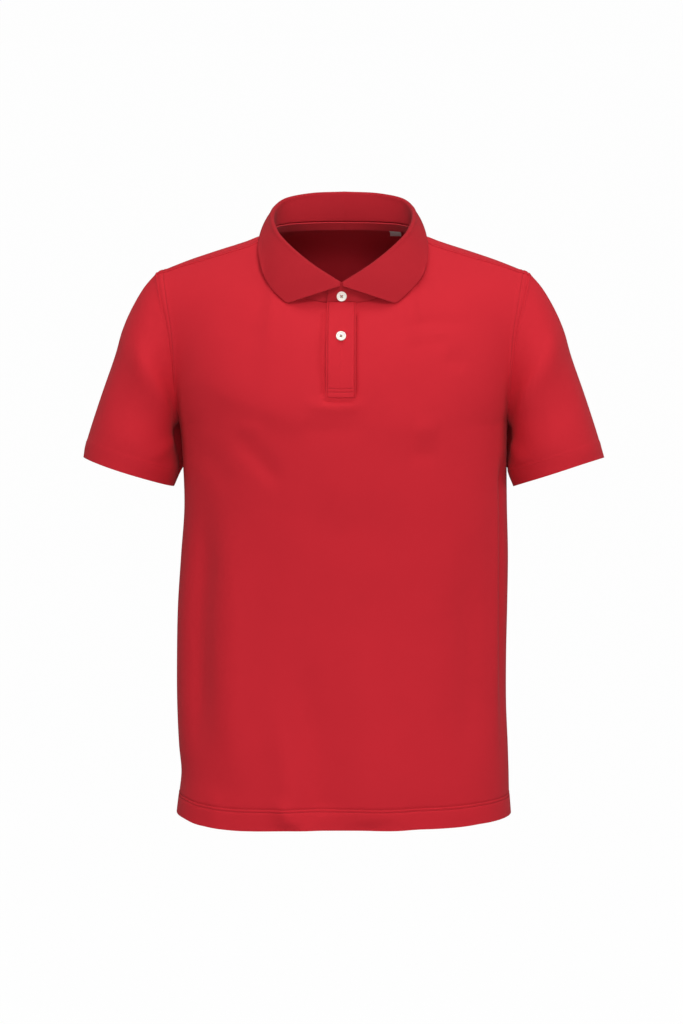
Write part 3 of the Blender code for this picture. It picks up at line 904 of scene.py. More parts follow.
@dataclass
class Torso:
    """The front and back panels, their side and shoulder seams, and the turned-up hem."""

    form: TorsoForm = field(default_factory=TorsoForm)
    cloth: float = 0.0015
    hem_cloth: float = 0.0024
    hem_depth: float = 0.025
    hem_rows: float = 0.0034
    hem_blend: float = 0.075
    hem_proud: float = 0.0006
    stitch_sunk: float = 0.0009
    stitch_width: float = 0.0010
    slot_span: float = 0.07
    slot_rise: float = 0.265
    last_span: float = 0.9995
    stitch_span: float = 0.0265
    # a turned or rolled edge's depth, and in spans how far a seam, a groove and a roll reach
    seam_depth: float = 0.0011
    seam_reach: float = 0.010
    groove_reach: float = 0.0030
    roll_reach: float = 0.006
    shoulder_stitch: float = 1.905
    # the levels between which the cloth starts to lie double over the shoulder, and how much it rises
    shoulder_double: Pair = (1.84, 1.89)
    shoulder_raised: float = 0.0005
    fold_end: float = 0.10
    across: int = 76
    low_rows: int = 122
    high_rows: int = 80
    # closer rows and columns: metres up the hem, spans in from the side, levels over the shoulder
    hem_heights: tuple[float, ...] = (
        *(0, 0.0006, 0.0016, 0.004, 0.008, 0.012, 0.016, 0.0195, 0.0205, 0.0211),
        *(0.0216, 0.0221, 0.0227, 0.0236, 0.0244, 0.025, 0.0256, 0.0264, 0.028),
    )
    side_gaps: tuple[float, ...] = (0, 0.004, 0.01, 0.017, 0.022, 0.0245, 0.0265, 0.0285, 0.032, 0.04, 0.052)
    over_levels: tuple[float, ...] = (0.83, 0.88, 0.905, 0.93, 0.96, 0.98, 0.9985)
    # the line as x, z, x, z ..., how far it reaches, and how high it rises
    front_folds: tuple[Crease, ...] = creases(
        # the fullness of the chest, and where it steps back over the belly
        ((-188, -150, -120, -182, -50, -204, 20, -212), 18, 3.4, 34),
        ((20, -208, 80, -214, 150, -205), 20, 1.8, 30),
        ((-130, -228, -100, -252, -64, -292), 10, -3, 14),
        ((-170, -232, -150, -262, -120, -300), 14, -1.6),
        # under the placket
        ((-50, -186, -8, -194, 34, -186), 8.5, 2.4),
        ((-60, -214, -10, -219, 40, -213), 11, -1.6),
        ((-24.5, -100, -25, -135, -24, -170), 6, -1.6),
        ((-20.6, -84, -20.6, -130, -20.6, -182), 2.2, -2.2, None, (0.05, 0.05)),
        ((16.4, -84, 16.4, -130, 16.4, -182), 2, -2, None, (0.05, 0.05)),
        ((-22, -186, 2, -186.8, 17, -186), 2, -2, None, (0.1, 0.1)),
        # small swells and hollows of the chest
        ((-124, -222, -106, -219, -86, -221), 9, 1.3),
        ((82, -223, 98, -219, 116, -221), 10, 1.7),
        ((76, -246, 95, -249, 116, -254), 11, -1.8),
        ((82, -96.5, 115, -98.2, 156, -99), 7.5, -1.4),
        ((40, -110, 86, -99, 134, -87), 6.5, -1),
        ((62, -128, 100, -122, 140, -115), 7, -1),
        ((118, -136, 132, -142, 148, -150), 10, -1.5),
        ((-150, -92, -120, -105, -80, -112), 14, -1),
        # the long folds below
        ((-158, -270, -165, -372, -171.5, -465, -170, -650), 13, -9.2, 20),
        ((-126, -300, -128, -420, -130, -540, -124, -690), 20, 4),
        ((-50, -460, -36, -560, -22, -680), 15, -4, 22, (0.5, 0.1)),
        ((-78, -520, -68, -610, -60, -690), 15, 2.8, None, (0.5, 0.05)),
        ((24, -420, 30, -560, 36, -690), 24, 3.6, None, (0.5, 0.05)),
        ((150, -330, 152, -500, 148, -650), 20, -4.2),
        ((104, -330, 100, -480, 104, -640), 24, 2),
        ((182, -270, 182.5, -400, 181.5, -640), 5, 1.6, None, (0.2, 0.5)),
        ((188.5, -250, 189.2, -400, 189, -660), 3.6, -6.2, None, (0.1, 0.6)),
        ((-60, -320, 10, -336, 80, -330), 30, -2.2),
        # the hem
        ((-85, -650, -50, -688, -20, -695), 11, 3, None, (0.3, 0.3)),
        ((-150, -640, -148, -670, -150, -695), 12, 1.8, None, (0.5, 0.05)),
        ((88, -650, 92, -675, 90, -695), 14, -1.4, None, (0.5, 0.05)),
    )
    back_folds: tuple[Crease, ...] = creases(
        ((175, -196, 95, -252, 20, -306), 13, -3, 20),
        ((-178, -188, -110, -240, -45, -322), 14, -2.8, 20),
        ((150, -225, 85, -284, 40, -330), 14, 1.6),
        ((-130, -120, 0, -106, 128, -118), 26, 1.8),
        ((-85, -60, -10, -52, 80, -62), 14, -1.2),
        ((60, -350, 54, -500, 66, -670), 17, -3.2, 24),
        ((-78, -380, -86, -540, -76, -680), 18, -2.8, 14),
        ((-12, -370, -4, -520, -8, -690), 30, 2.2),
        ((150, -290, 156, -450, 150, -640), 16, -2.6),
        ((-150, -320, -158, -500, -152, -660), 17, -3),
        ((110, -340, 108, -480, 112, -690), 22, 1.8),
        ((-118, -360, -120, -520, -116, -690), 22, 1.8),
        ((-100, -352, -20, -340, 60, -348), 12, -1.4),
        ((-60, -268, 10, -262, 70, -272), 16, -1),
    )
    # how far the front's lower edge hangs below a level line: x, drop
    front_hem: Table = (
        (-0.2, -0.0045), (-0.188, -0.0035), (-0.172, 0.0002), (-0.158, 0.0014), (-0.1445, 0.0026),
        (-0.124, 0.0036), (-0.1035, 0.0034), (-0.0755, 0.0026), (-0.048, 0.0017), (-0.006, 0.0012),
        (0.022, 0.0012), (0.064, 0.0022), (0.092, 0.0014), (0.12, 0.0014), (0.148, 0.001),
        (0.162, 0.0002), (0.175, 0.0), (0.201, -0.0012),
    )
    back_hem: Table = (
        (-0.201, -0.0045), (-0.15, 0.0004), (-0.08, -0.001), (0.0, 0.0006), (0.07, -0.0012),
        (0.15, 0.0006), (0.201, -0.0012),
    )
    front: Cloth = field(init=False)
    back: Cloth = field(init=False)
    spans: Array = field(init=False)
    levels: Array = field(init=False)
    back_levels: Array = field(init=False)

    def __post_init__(self) -> None:
        """Works out both panels."""
        near_edge = 1 - np.array(self.side_gaps)
        side = np.concatenate([np.linspace(self.slot_span, near_edge[-1] - 0.012, self.across), near_edge])
        middle = np.linspace(-self.slot_span, self.slot_span, 11)
        self.spans = np.unique(np.round(np.concatenate([-side, middle, side]), 6))
        bottom = self.form.sections[0][0] - self.form.armpit
        low = bottom + np.concatenate([self.hem_heights, np.linspace(0.031, -bottom, self.low_rows)[:-1]])
        high = np.concatenate([np.linspace(0, 0.985, self.high_rows), (0.990, 0.994, 0.9975, 0.9999)])
        high = np.unique(np.append(high, self.slot_rise))
        self.levels = np.concatenate([low, high])
        over = 1 + np.concatenate([np.linspace(0, 0.78, 10), self.over_levels])
        self.back_levels = np.concatenate([self.levels, over])
        self.front = self.panel(Facing.FRONT)
        self.back = self.panel(Facing.BACK)

    def levels_of(self, facing: Facing) -> Array:
        """The level of each row of a panel."""
        return self.levels if facing is Facing.FRONT else self.back_levels

    def panel(self, facing: Facing) -> Cloth:
        """One panel with its folds and the relief of its seams."""
        front = facing is Facing.FRONT
        levels = self.levels_of(facing)
        points = self.form.points(self.spans * self.last_span, levels, facing)
        spans = self.spans if front else self.spans[::-1]
        points = points if front else points[:, ::-1]
        height = (levels - levels[0])[:, None]
        drop = curve(self.front_hem if front else self.back_hem, points[0, :, 0])[:, 0]
        points[..., 2] -= drop * (1 - step(height, 0.0, self.hem_blend))
        lift = folded(self.front_folds if front else self.back_folds, points[..., 0], points[..., 2])
        # the folds die out at the armholes and the upper edges, where other pieces join
        span, level = np.abs(spans)[None], levels[:, None]
        beside = np.where(level > -0.01, step(1 - span, 0.0, self.fold_end), 1.0)
        lift = lift * step(levels[-1] - level, 0.0, self.fold_end) * beside
        hem = 1 - step(height, self.hem_depth - 0.0010, self.hem_depth + 0.0006)
        sunk = bell(height - self.hem_depth, self.stitch_width)
        sunk = sunk + 0.8 * bell(height - self.hem_depth + self.hem_rows, self.stitch_width)
        lift = lift + self.hem_proud * hem - self.stitch_sunk * sunk
        return Cloth(points).lifted(lift + self.seam_relief(span, level, facing))

    def seam_relief(self, span: Array, level: Array, facing: Facing) -> Array:
        """The cloth turned under at the side seams, and lying double along the armholes and shoulders."""
        below = 1 - step(level, -0.02, 0.03)
        past = 1 - span - self.stitch_span
        raised = self.seam_depth * (1 - step(past, 0.002, 0.010))
        raised = raised - self.stitch_sunk * bell(past, self.groove_reach)
        rolled = -self.seam_depth * bell(1 - span, self.roll_reach)
        side = -self.seam_depth * bell(1 - span, self.seam_reach)
        relief = side * below + (raised + rolled) * (1 - below)
        beyond = step(span, self.form.neck_span, self.form.neck_span + 0.04)
        if facing is Facing.FRONT:
            return relief - 0.0002 * bell(1 - level, self.seam_reach) * beyond
        double = self.shoulder_raised * step(level, *self.shoulder_double) - 0.0003 * bell(2 - level, 0.02)
        sunk = -0.0004 * bell(level - self.shoulder_stitch, 0.014)
        return relief + (double + sunk) * beyond

    def cells(self, facing: Facing) -> Array:
        """Which cells there are: the front has a slot behind its placket."""
        levels = self.levels_of(facing)
        keep = np.ones((len(levels) - 1, len(self.spans) - 1), bool)
        if facing is Facing.FRONT:
            middle = (self.spans[:-1] + self.spans[1:]) / 2
            keep[np.ix_(levels[:-1] >= self.slot_rise - 1e-9, np.abs(middle) < self.slot_span)] = False
        return keep

    def thickness(self, facing: Facing) -> Array:
        """The share of the hem's thickness that each point has."""
        levels = self.levels_of(facing)
        high = levels - levels[0] > self.hem_depth
        return np.repeat(np.where(high, self.cloth / self.hem_cloth, 1.0)[:, None], len(self.spans), axis=1)

    def build(self, facing: Facing) -> bpy.types.Object:
        """Makes a panel.

        Args:
            facing: Which.

        Returns:
            The panel.
        """
        cloth = self.front if facing is Facing.FRONT else self.back
        name = f"{facing.name.lower()}_cloth"
        return sew(name, cloth, self.hem_cloth, self.cells(facing), self.thickness(facing), edge=0.16)

    def dress(self, finishes: Finishes) -> None:
        """Builds the panels and their stitches and gives them their finish."""
        front = finishes.dress(self.build(Facing.FRONT), finishes.knit, "front_panel")
        back = finishes.dress(self.build(Facing.BACK), finishes.knit, "back_panel")
        front_thread = finishes.dress(self.stitches(Facing.FRONT), finishes.thread)
        back_thread = finishes.dress(self.stitches(Facing.BACK), finishes.thread)

    def stitches(self, facing: Facing) -> bpy.types.Object:
        """The rows of stitches on the hem, along the armholes and at the forward shoulder seams."""
        cloth = self.front if facing is Facing.FRONT else self.back
        levels = self.levels_of(facing)
        stitch = Stitch()
        height = levels - levels[0]
        rows = [nearest(height, at) for at in (self.hem_depth, self.hem_depth - self.hem_rows)]
        paths = [cloth.along_row(at)[1:-1] for at in rows]
        low = nearest(levels, 0)
        column = nearest(self.spans, 1 - self.stitch_span)
        last = len(self.spans) - 1
        for at in (column, last - column):
            paths.append(cloth.along_column(at)[low + 6 : -1])
        if facing is Facing.BACK:
            inner = nearest(self.spans, self.form.neck_span + 0.012)
            line = cloth.along_row(nearest(levels, self.shoulder_stitch))
            paths.append(line[inner:column])
            paths.append(line[last - column + 1 : last - inner + 1])
        return join(f"{facing.name.lower()}_stitches", [stitch.row(path) for path in paths])


@dataclass
class Sleeve:
    """One sleeve and its cuff."""

    side: Side
    torso: Torso
    cloth: float = 0.0015
    cuff_cloth: float = 0.0026
    cuff_proud: float = 0.0006
    inset: float = 0.0012
    armhole_middle: tuple[float, float, float] = (0.2055, 0.0, -0.131)
    around: int = 132
    along: int = 64
    # ring, top and bottom as seen from the front (x, z), reach to the front and back, tilt, share tucked
    rings: Table = (
        (0, 0.2195, -0.0462, 0.1945, -0.218, 0.054, 0.064, 0.0, 0.0),
        (1, 0.2345, -0.064, 0.195, -0.2215, 0.058, 0.065, 0.01, 0.2),
        (2, 0.249, -0.089, 0.1953, -0.2275, 0.0615, 0.065, 0.02, 0.5),
        (3, 0.2598, -0.1145, 0.1956, -0.2345, 0.0635, 0.064, 0.03, 0.8),
        (4, 0.2685, -0.145, 0.1958, -0.2435, 0.0645, 0.0615, 0.04, 1.0),
        (5, 0.2828, -0.186, 0.196, -0.256, 0.065, 0.057, 0.05, 1.0),
        (6, 0.2948, -0.222, 0.1963, -0.269, 0.0655, 0.052, 0.06, 1.0),
        (7, 0.3025, -0.247, 0.1968, -0.28, 0.064, 0.0485, 0.07, 0.9),
        (8, 0.3067, -0.265, 0.203, -0.2985, 0.0608, 0.046, 0.07, 0.8),
    )
    # rings between which the pocket behind the lower front opens, and closes again
    pocket: tuple[float, float, float, float] = (0.8, 2.6, 3.6, 6.4)
    # radians from underneath: where the front's fold fades, and where the cloth behind is tucked in
    front_fade: float = 0.50
    tuck_start: float = 0.42
    tuck_end: Pair = (0.85, 1.6)
    hitch: float = 0.026
    hitch_rings: Pair = (3.0, 7.5)
    lift_rings: Pair = (6, 8)
    cuff_wave: float = 0.0008
    # how deep the cloth is drawn in where it meets the band, and at the armhole
    band_sunk: float = 0.0005
    rim_sunk: float = 0.0006
    # left and right: how far the cloth behind lies off the body's side, how far the lower front stands off,
    # and the tilt that the cuff's front gets on top
    beside: Pair = (0.0002, 0.0016)
    stands_off: Pair = (0.0060, 0.0068)
    lifts: Pair = (0.045, 0.0)
    # round the arm from underneath, front first, and on from the armhole to the cuff
    left_folds: tuple[Crease, ...] = creases(
        ((40, 64, 105, 78, 165, 80), 21, -4.8, 30),
        ((60, 132, 110, 140, 165, 146), 23, 2.4),
        ((12, 120, 35, 160, 55, 210), 13, -2.4),
        ((85, 14, 120, 20, 165, 24), 14, 0.8),
        ((225, 110, 275, 118, 330, 96), 19, -3),
        ((235, 165, 285, 172, 335, 190), 18, 1.6),
        ((368, 120, 345, 160, 320, 205), 11, -2.2),
    )
    right_folds: tuple[Crease, ...] = creases(
        ((34, 66, 95, 74, 150, 84), 22, -5, 30),
        ((52, 128, 105, 138, 160, 150), 24, 2.6),
        ((10, 110, 40, 150, 70, 205), 11, -2.2),
        ((80, 16, 115, 20, 160, 26), 14, 0.8),
        ((220, 120, 280, 108, 335, 100), 20, -3.2),
        ((240, 170, 290, 180, 330, 200), 16, 1.8),
        ((370, 110, 340, 150, 310, 200), 12, -2),
    )
    round_arm: float = 0.38
    ring_gap: float = 0.03
    sleeve: Cloth = field(init=False)
    cuff: Cloth = field(init=False)

    def __post_init__(self) -> None:
        """Works out the sleeve and the cuff."""
        turns = np.linspace(0, 1, self.around + 1)
        rows = np.concatenate([(0, 0.012, 0.03, 0.06, 0.11), np.linspace(0.18, 7, self.along)])
        base = self.ring(rows, turns)
        # the whole sleeve follows the armhole, less and less towards the cuff
        points = base + (self.rim(turns) - base[0]) * ((1 - rows / 8) ** 3)[:, None, None]
        turn, row = np.broadcast_arrays(turns[None], rows[:, None])
        folds = self.own((self.left_folds, self.right_folds))
        lift = folded(folds, turn * self.round_arm, row * self.ring_gap)
        lift = lift * step(turn * (1 - turn), 0.0, 0.03)
        lift = lift * step(row, 0.0, 0.9) * step(7 - row, 0.0, 0.5)
        lift = lift - self.band_sunk * bell(7 - row, 0.10) - self.rim_sunk * bell(row, 0.07) * (row > 0)
        self.sleeve = self.around_arm(points, lift)
        band = np.concatenate([(6.985, 7.01, 7.06, 7.12), np.linspace(7.25, 7.86, 7), (7.93, 7.97, 8.0)])
        points = self.ring(band, turns)
        waved = np.sin(turns * math.tau * 3 + self.side.value)[None] * step(band, 7.3, 8.0)[:, None]
        self.cuff = self.around_arm(points, self.cuff_proud + self.cuff_wave * waved)

    def own(self, pair: Sequence[Any]) -> Any:
        """What this sleeve has, of a pair for the left and the right one."""
        return pair[0 if self.side is Side.LEFT else 1]

    def around_arm(self, points: Array, lift: Array | float) -> Cloth:
        """Puts rings made for the wearer's left on this side, with the cuff end as the first row."""
        lift = np.broadcast_to(lift, points.shape[:2])[::-1]
        points = turned(points, self.side)[::-1]
        if self.side is Side.LEFT:
            points, lift = points[:, ::-1], lift[:, ::-1]
        return Cloth(points, closed=True).lifted(lift)

    def rim(self, turns: Array) -> Array:
        """The armhole's line on the body panels, from under the arm round the front, as on the left side."""
        column = -1 if self.side is Side.LEFT else 0
        low = nearest(self.torso.levels, 0)
        ahead = turned(self.torso.front.points[low:, column], self.side)
        behind = turned(self.torso.back.points[low:, -1 - column], self.side)
        crown = (ahead[-1] + behind[-1]) / 2
        front = resample(np.vstack([ahead, crown]), np.clip(turns * 2, 0, 1))
        back = resample(np.vstack([behind, crown]), np.clip(2 - turns * 2, 0, 1))
        line = np.where((turns <= 0.5)[:, None], front, back)
        inward = unit(np.array(self.armhole_middle) - line)
        return line - np.array((0.0003, 0, 0)) + inward * self.inset

    def ring(self, rows: Array, turns: Array) -> Array:
        """Sections of the sleeve; a turn of 0 is under the arm, 0.25 the front and 0.5 the top."""
        sizes = np.moveaxis(curve(self.rings, rows)[:, None], -1, 0)
        top_x, top_z, low_x, low_z, front, back, tilt, tucked = sizes
        angle = (turns * math.tau)[None]
        near = np.where(angle > math.pi, angle - math.tau, angle)
        ahead = np.where(np.sin(angle) > 0, front, back) * np.sin(angle)
        tilt = tilt + self.own(self.lifts) * step(rows, *self.lift_rings)[:, None] * (ahead > 0)
        x = (top_x + low_x) / 2 + (low_x - top_x) / 2 * np.cos(angle)
        z = (top_z + low_z) / 2 + (low_z - top_z) / 2 * np.cos(angle) + ahead * tilt
        # the front ends in a fold under the arm, and behind it the cloth lies against the body's side
        behind = step(-near, 0.0, self.tuck_start) * (1 - step(-near, *self.tuck_end)) * tucked
        off = np.where(near > 0, bell(near, self.front_fade), 1 - behind)
        opens, opened, closes, closed = self.pocket
        open_here = (step(rows, opens, opened) * (1 - step(rows, closes, closed)))[:, None]
        off = off * (near > -1.0) * open_here * self.own(self.stands_off)
        x = x + off
        beside = self.torso.form.half_width(-ahead, z, self.side) + self.own(self.beside)
        x = x + (beside - x) * behind
        z = z + self.hitch * behind * step(rows, *self.hitch_rings)[:, None]
        return np.stack([x, -ahead, z], axis=-1)

    def dress(self, finishes: Finishes) -> None:
        """Builds the sleeve and the cuff and gives them their finish."""
        name = self.side.name.lower()
        sleeve = sew(f"sleeve_cloth_{name}", self.sleeve, self.cloth, edge=0.25)
        cuff = sew(f"cuff_band_{name}", self.cuff, self.cuff_cloth, edge=0.35)
        finishes.dress(sleeve, finishes.knit, f"sleeve_{name}")
        finishes.dress(cuff, finishes.knit, f"cuff_{name}")


@dataclass
class Collar:
    """The stand on the neck seam, and the leaf that faces the stand inside and rolls over it."""

    torso: Torso
    cloth: float = 0.0018
    facing_cloth: float = 0.0008
    stand_cloth: float = 0.0011
    # crest of the roll (x, y, z), then the leaf's outer edge (x, y, z), from the front to the back
    stations: Table = (
        (0.001, -0.0905, -0.0505, 0.0633, -0.093, -0.0752),
        (0.0344, -0.083, -0.0295, 0.0748, -0.0872, -0.0655),
        (0.0605, -0.0655, -0.0095, 0.0835, -0.0808, -0.057),
        (0.074, -0.047, 0.003, 0.0925, -0.0716, -0.0465),
        (0.0825, -0.018, 0.017, 0.099, -0.0588, -0.03),
        (0.0835, 0.01, 0.0262, 0.1005, -0.033, -0.01),
        (0.08, 0.034, 0.0322, 0.0965, 0.0, 0.002),
        (0.07, 0.056, 0.039, 0.088, 0.049, 0.0045),
        (0.042, 0.074, 0.0442, 0.053, 0.084, 0.003),
        (0.0, 0.079, 0.046, 0.0, 0.0955, 0.003),
    )
    # the roll in section, from the stand's top over the crest: share, how far out, how far up
    roll: Table = (
        (0.0, -0.003, -0.0052), (0.25, -0.0024, -0.0018), (0.5, -0.0002, 0.0), (0.75, 0.0024, -0.0012),
        (1.0, 0.0038, -0.0044),
    )
    belly: float = 0.0020
    columns: int = 84
    facing_rows: int = 8
    roll_rows: int = 15
    facing_start: float = 0.10
    lap_step: float = 0.0024
    lap_start: float = 0.105
    lap_blend: float = 0.03
    lap_columns: int = 8
    placket_span: float = 0.0816
    tip_round: float = 0.036
    # how much closer the right leaf lies, at what share of the way round, and over what share
    closer: float = 0.0035
    closer_at: float = 0.42
    closer_reach: float = 0.14
    facing_gap: float = 0.0021
    # the stand's upper edge lies under the roll, and its lower edge off the neck's seam
    stand_rows: int = 12
    stand_drop: float = 0.0062
    stand_inset: float = 0.0012
    seam_gap: float = 0.0004
    leaf: Cloth = field(init=False)
    stand: Cloth = field(init=False)

    def __post_init__(self) -> None:
        """Works out the leaf and the stand."""
        self.leaf = self.fall()
        self.stand = self.band()

    def columns_of(self) -> tuple[Array, Array]:
        """For each column of the leaf, its share of the way to the middle of the back, and its side."""
        half = np.linspace(0, 1, self.columns + 1)
        side = np.ones(len(half))
        return np.concatenate([half, half[-2::-1]]), np.concatenate([-side, side[1:]])

    def at(self, share: Array, side: Array) -> tuple[Array, Array, Array]:
        """The crest, the leaf's edge and the level direction outward.

        Args:
            share: Shares of the way from the front to the middle of the back.
            side: -1 or 1 for each.

        Returns:
            The three, a row for each share.
        """
        rows = np.asarray(self.stations)
        way = lengths(rows[:, :3])
        table = np.column_stack([way / way[-1], rows])
        found = curve(table, share)
        run = curve(table, np.minimum(share + 0.02, 1)) - curve(table, np.maximum(share - 0.02, 0))
        out = np.stack([run[..., 1], -run[..., 0], np.zeros(share.shape)], axis=-1)
        out = unit(np.where((share >= 1)[..., None], np.array((0.0, 1.0, 0.0)), out))
        turn = mirrors(side)
        return found[..., :3] * turn, found[..., 3:] * turn, out * turn

    def seam(self) -> tuple[Array, Array, Array]:
        """The neck seam of the wearer's left from the front to the back: points, spans and shares."""
        form = self.torso.form
        spans = np.linspace(0, form.neck_span, 60)
        behind = form.line(spans[::-1], 2.0, Facing.BACK)[1:]
        half = np.vstack([form.line(spans, 1.0, Facing.FRONT), behind])
        return half, spans, lengths(half) / lengths(half)[-1]

    def fall(self) -> Cloth:
        """The leaf: up the stand's inner side, over the roll, and down to its outer edge."""
        share, side = self.columns_of()
        crest, edge, out = self.at(share, side)
        # the leaf on the wearer's right lies a little closer to the shoulder
        closer = self.closer * bell(share - self.closer_at, self.closer_reach) * (side < 0)
        edge = edge - out * closer[:, None]
        seam, _, ways = self.seam()
        low = np.stack([np.interp(share, ways, seam[:, k]) for k in range(3)], axis=-1) * mirrors(side)
        roll = curve(self.roll, np.linspace(0, 1, self.roll_rows))
        over = [crest + out * ahead + np.array((0, 0, up)) for ahead, up in roll]
        start, fold = over[0], over[-1]
        low = low - out * self.facing_gap + (start - low) * 0.04
        rows = [low + (start - low) * way for way in np.linspace(0, 1, self.facing_rows + 1)[:-1]] + over
        rounded = 1 - self.tip_round * bell(share, 0.010)
        for way in np.concatenate([np.linspace(0, 0.95, 26)[1:], (0.97, 0.985, 1.0)]):
            reach = way * (1 - (1 - rounded) * way**8)
            rows.append(fold + (edge - fold) * reach[:, None] + out * self.belly * 4 * way * (1 - way))
        return Cloth(np.array(rows))

    def leaf_cells(self) -> Array:
        """The facing stops short of the front, where the stand laps over itself."""
        rows, columns = self.leaf.points.shape[:2]
        keep = np.ones((rows - 1, columns - 1), bool)
        share, _ = self.columns_of()
        keep[: self.facing_rows, (share[:-1] + share[1:]) / 2 < self.facing_start] = False
        return keep

    def leaf_thickness(self) -> Array:
        """The facing is thin, and the leaf thickens over the roll."""
        rows, columns = self.leaf.points.shape[:2]
        thin = self.facing_cloth / self.cloth
        over = step(np.arange(rows), self.facing_rows, self.facing_rows + self.roll_rows / 2)
        share = np.round(thin + (1 - thin) * over, 3)
        return np.repeat(share[:, None], columns, axis=1)

    def band(self) -> Cloth:
        """The stand, from its upper end round the neck to its under end."""
        form = self.torso.form
        half, spans, way = self.seam()
        ahead = way[: len(spans)]
        start = np.linspace(self.placket_span, 0, self.lap_columns + 1)[:-1]
        under = np.linspace(0, self.torso.slot_span, 7)[1:]
        first, last = (form.line(at, 1.0, Facing.FRONT) for at in (-start, under))
        seam = np.vstack([first, half, half[-2::-1] * (-1, 1, 1), last])
        start, end = (np.interp(at, spans, ahead) for at in (start, under))
        share = np.concatenate([start, way, way[-2::-1], end])
        side = np.repeat((-1.0, 1.0, -1.0, 1.0), (len(start), len(half), len(half) - 1, len(end)))
        inward = np.zeros(len(seam))
        count = len(seam) - len(under)
        near = np.interp(share, ahead, spans)
        lapped = (np.arange(len(seam)) > count - len(spans)) & (side < 0)
        ends = self.lap_start - self.lap_blend, self.lap_start + self.lap_blend
        inward[lapped] = self.lap_step * (1 - step(near[lapped], *ends))
        inward[count:] = self.lap_step
        crest, _, out = self.at(share, side)
        raised = 0.0056 * (1 - step(np.abs(crest[:, 0]), 0.0030, 0.0046)) * (inward < 0.001)
        top = crest - out * self.stand_inset
        top[:, 2] += raised - self.stand_drop
        low = seam + unit(top - seam) * self.seam_gap
        low, top = low - out * inward[:, None], top - out * inward[:, None]
        return Cloth(np.array([low + (top - low) * rise for rise in np.linspace(0, 1, self.stand_rows)]))

    def dress(self, finishes: Finishes) -> None:
        """Builds the collar and gives it its finish."""
        stand = sew("collar_band", self.stand, self.stand_cloth)
        leaf = sew("collar_fall", self.leaf, self.cloth, self.leaf_cells(), self.leaf_thickness())
        finishes.dress(stand, finishes.collar, "collar_stand")
        finishes.dress(leaf, finishes.collar, "collar_leaf")


@dataclass
class Button:
    """A four-hole button, sewn on with crossed thread."""

    radius: float = 0.00575
    thick: float = 0.0024
    rim: float = 0.0012
    slope: float = 0.0008
    dish: float = 0.0007
    hole: float = 0.00078
    hole_out: float = 0.00140
    edge: float = 0.00045
    thread: float = 0.00042
    strand_gap: float = 0.00052
    strand_bend: float = 0.0009

    def build(self, name: str) -> tuple[bpy.types.Object, bpy.types.Object]:
        """Makes a button lying face up at the origin.

        Args:
            name: Its name.

        Returns:
            The button and its thread.
        """
        deselect()
        bpy.ops.mesh.primitive_cylinder_add(vertices=64, radius=self.radius, depth=self.thick)
        piece = bpy.context.object
        top = np.array([face.normal.z > 0.9 for face in piece.data.polygons])
        select_faces(piece.data, top)
        with editing():
            bpy.ops.mesh.inset(thickness=self.rim)
            bpy.ops.mesh.inset(thickness=self.slope, depth=-self.dish)
            bpy.ops.mesh.inset(thickness=0.0006, depth=-0.00008)
        bevel(piece, self.edge, 3, 25)
        holes = []
        for quarter in range(4):
            angle = math.pi / 4 + quarter * math.pi / 2
            deselect()
            place = (math.cos(angle) * self.hole_out, math.sin(angle) * self.hole_out, 0)
            size = {"radius": self.hole, "depth": self.thick * 3}
            bpy.ops.mesh.primitive_cylinder_add(vertices=20, location=place, **size)
            holes.append(bpy.context.object)
        holes = join("button_holes", holes)
        apply_modifier(piece, "holes", "BOOLEAN", operation="DIFFERENCE", object=holes, solver="EXACT")
        bpy.data.objects.remove(holes)
        piece.name = name
        smooth(piece, 35)
        return piece, self.cross(f"{name}_thread")

    def cross(self, name: str) -> bpy.types.Object:
        """The thread through the holes: two strands over each diagonal."""
        strands = []
        height = self.thick / 2 - self.dish
        for diagonal in (math.pi / 4, -math.pi / 4):
            for beside in (-self.strand_gap / 2, self.strand_gap / 2):
                deselect()
                size = {"radius": self.thread / 2, "depth": self.hole_out * 2}
                bpy.ops.mesh.primitive_cylinder_add(vertices=10, rotation=(0, math.pi / 2, 0), **size)
                strand = bpy.context.object
                bpy.ops.object.transform_apply(location=False, rotation=True, scale=True)
                with editing(select_all=True):
                    bpy.ops.mesh.subdivide(number_cuts=6)
                points = positions(strand.data)
                bend = np.clip(np.abs(points[:, 0]) / self.hole_out, 0, 1) ** 4
                points[:, 1] += beside
                points[:, 2] += height + self.thread * 0.6 - bend * self.strand_bend
                turn = np.array(Matrix.Rotation(diagonal, 3, "Z"))
                strand.data.vertices.foreach_set("co", (points @ turn.T).ravel())
                strand.data.update()
                strands.append(strand)
        piece = join(name, strands)
        smooth(piece, 60)
        return piece

    def sew_on(self, name: str, node: str, place: Array, out: Array, finishes: Finishes) -> None:
        """Makes a button, puts it on the cloth and gives it its finish.

        Args:
            name: Its name.
            node: The node that it stands for.
            place: Where its back lies.
            out: The way its face looks.
            finishes: The shirt's finishes.
        """
        pieces = self.build(name)
        turn = Vector((0, 0, 1)).rotation_difference(Vector(out.tolist()))
        for piece, finish in zip(pieces, (finishes.button, finishes.pale_thread)):
            piece.rotation_mode = "QUATERNION"
            piece.rotation_quaternion = turn
            piece.location = Vector((place + out * (self.thick / 2 + 0.0004)).tolist())
            choose(piece)
            bpy.ops.object.transform_apply(location=True, rotation=True, scale=True)
            finishes.dress(piece, finish, *([node] if finish is finishes.button else []))


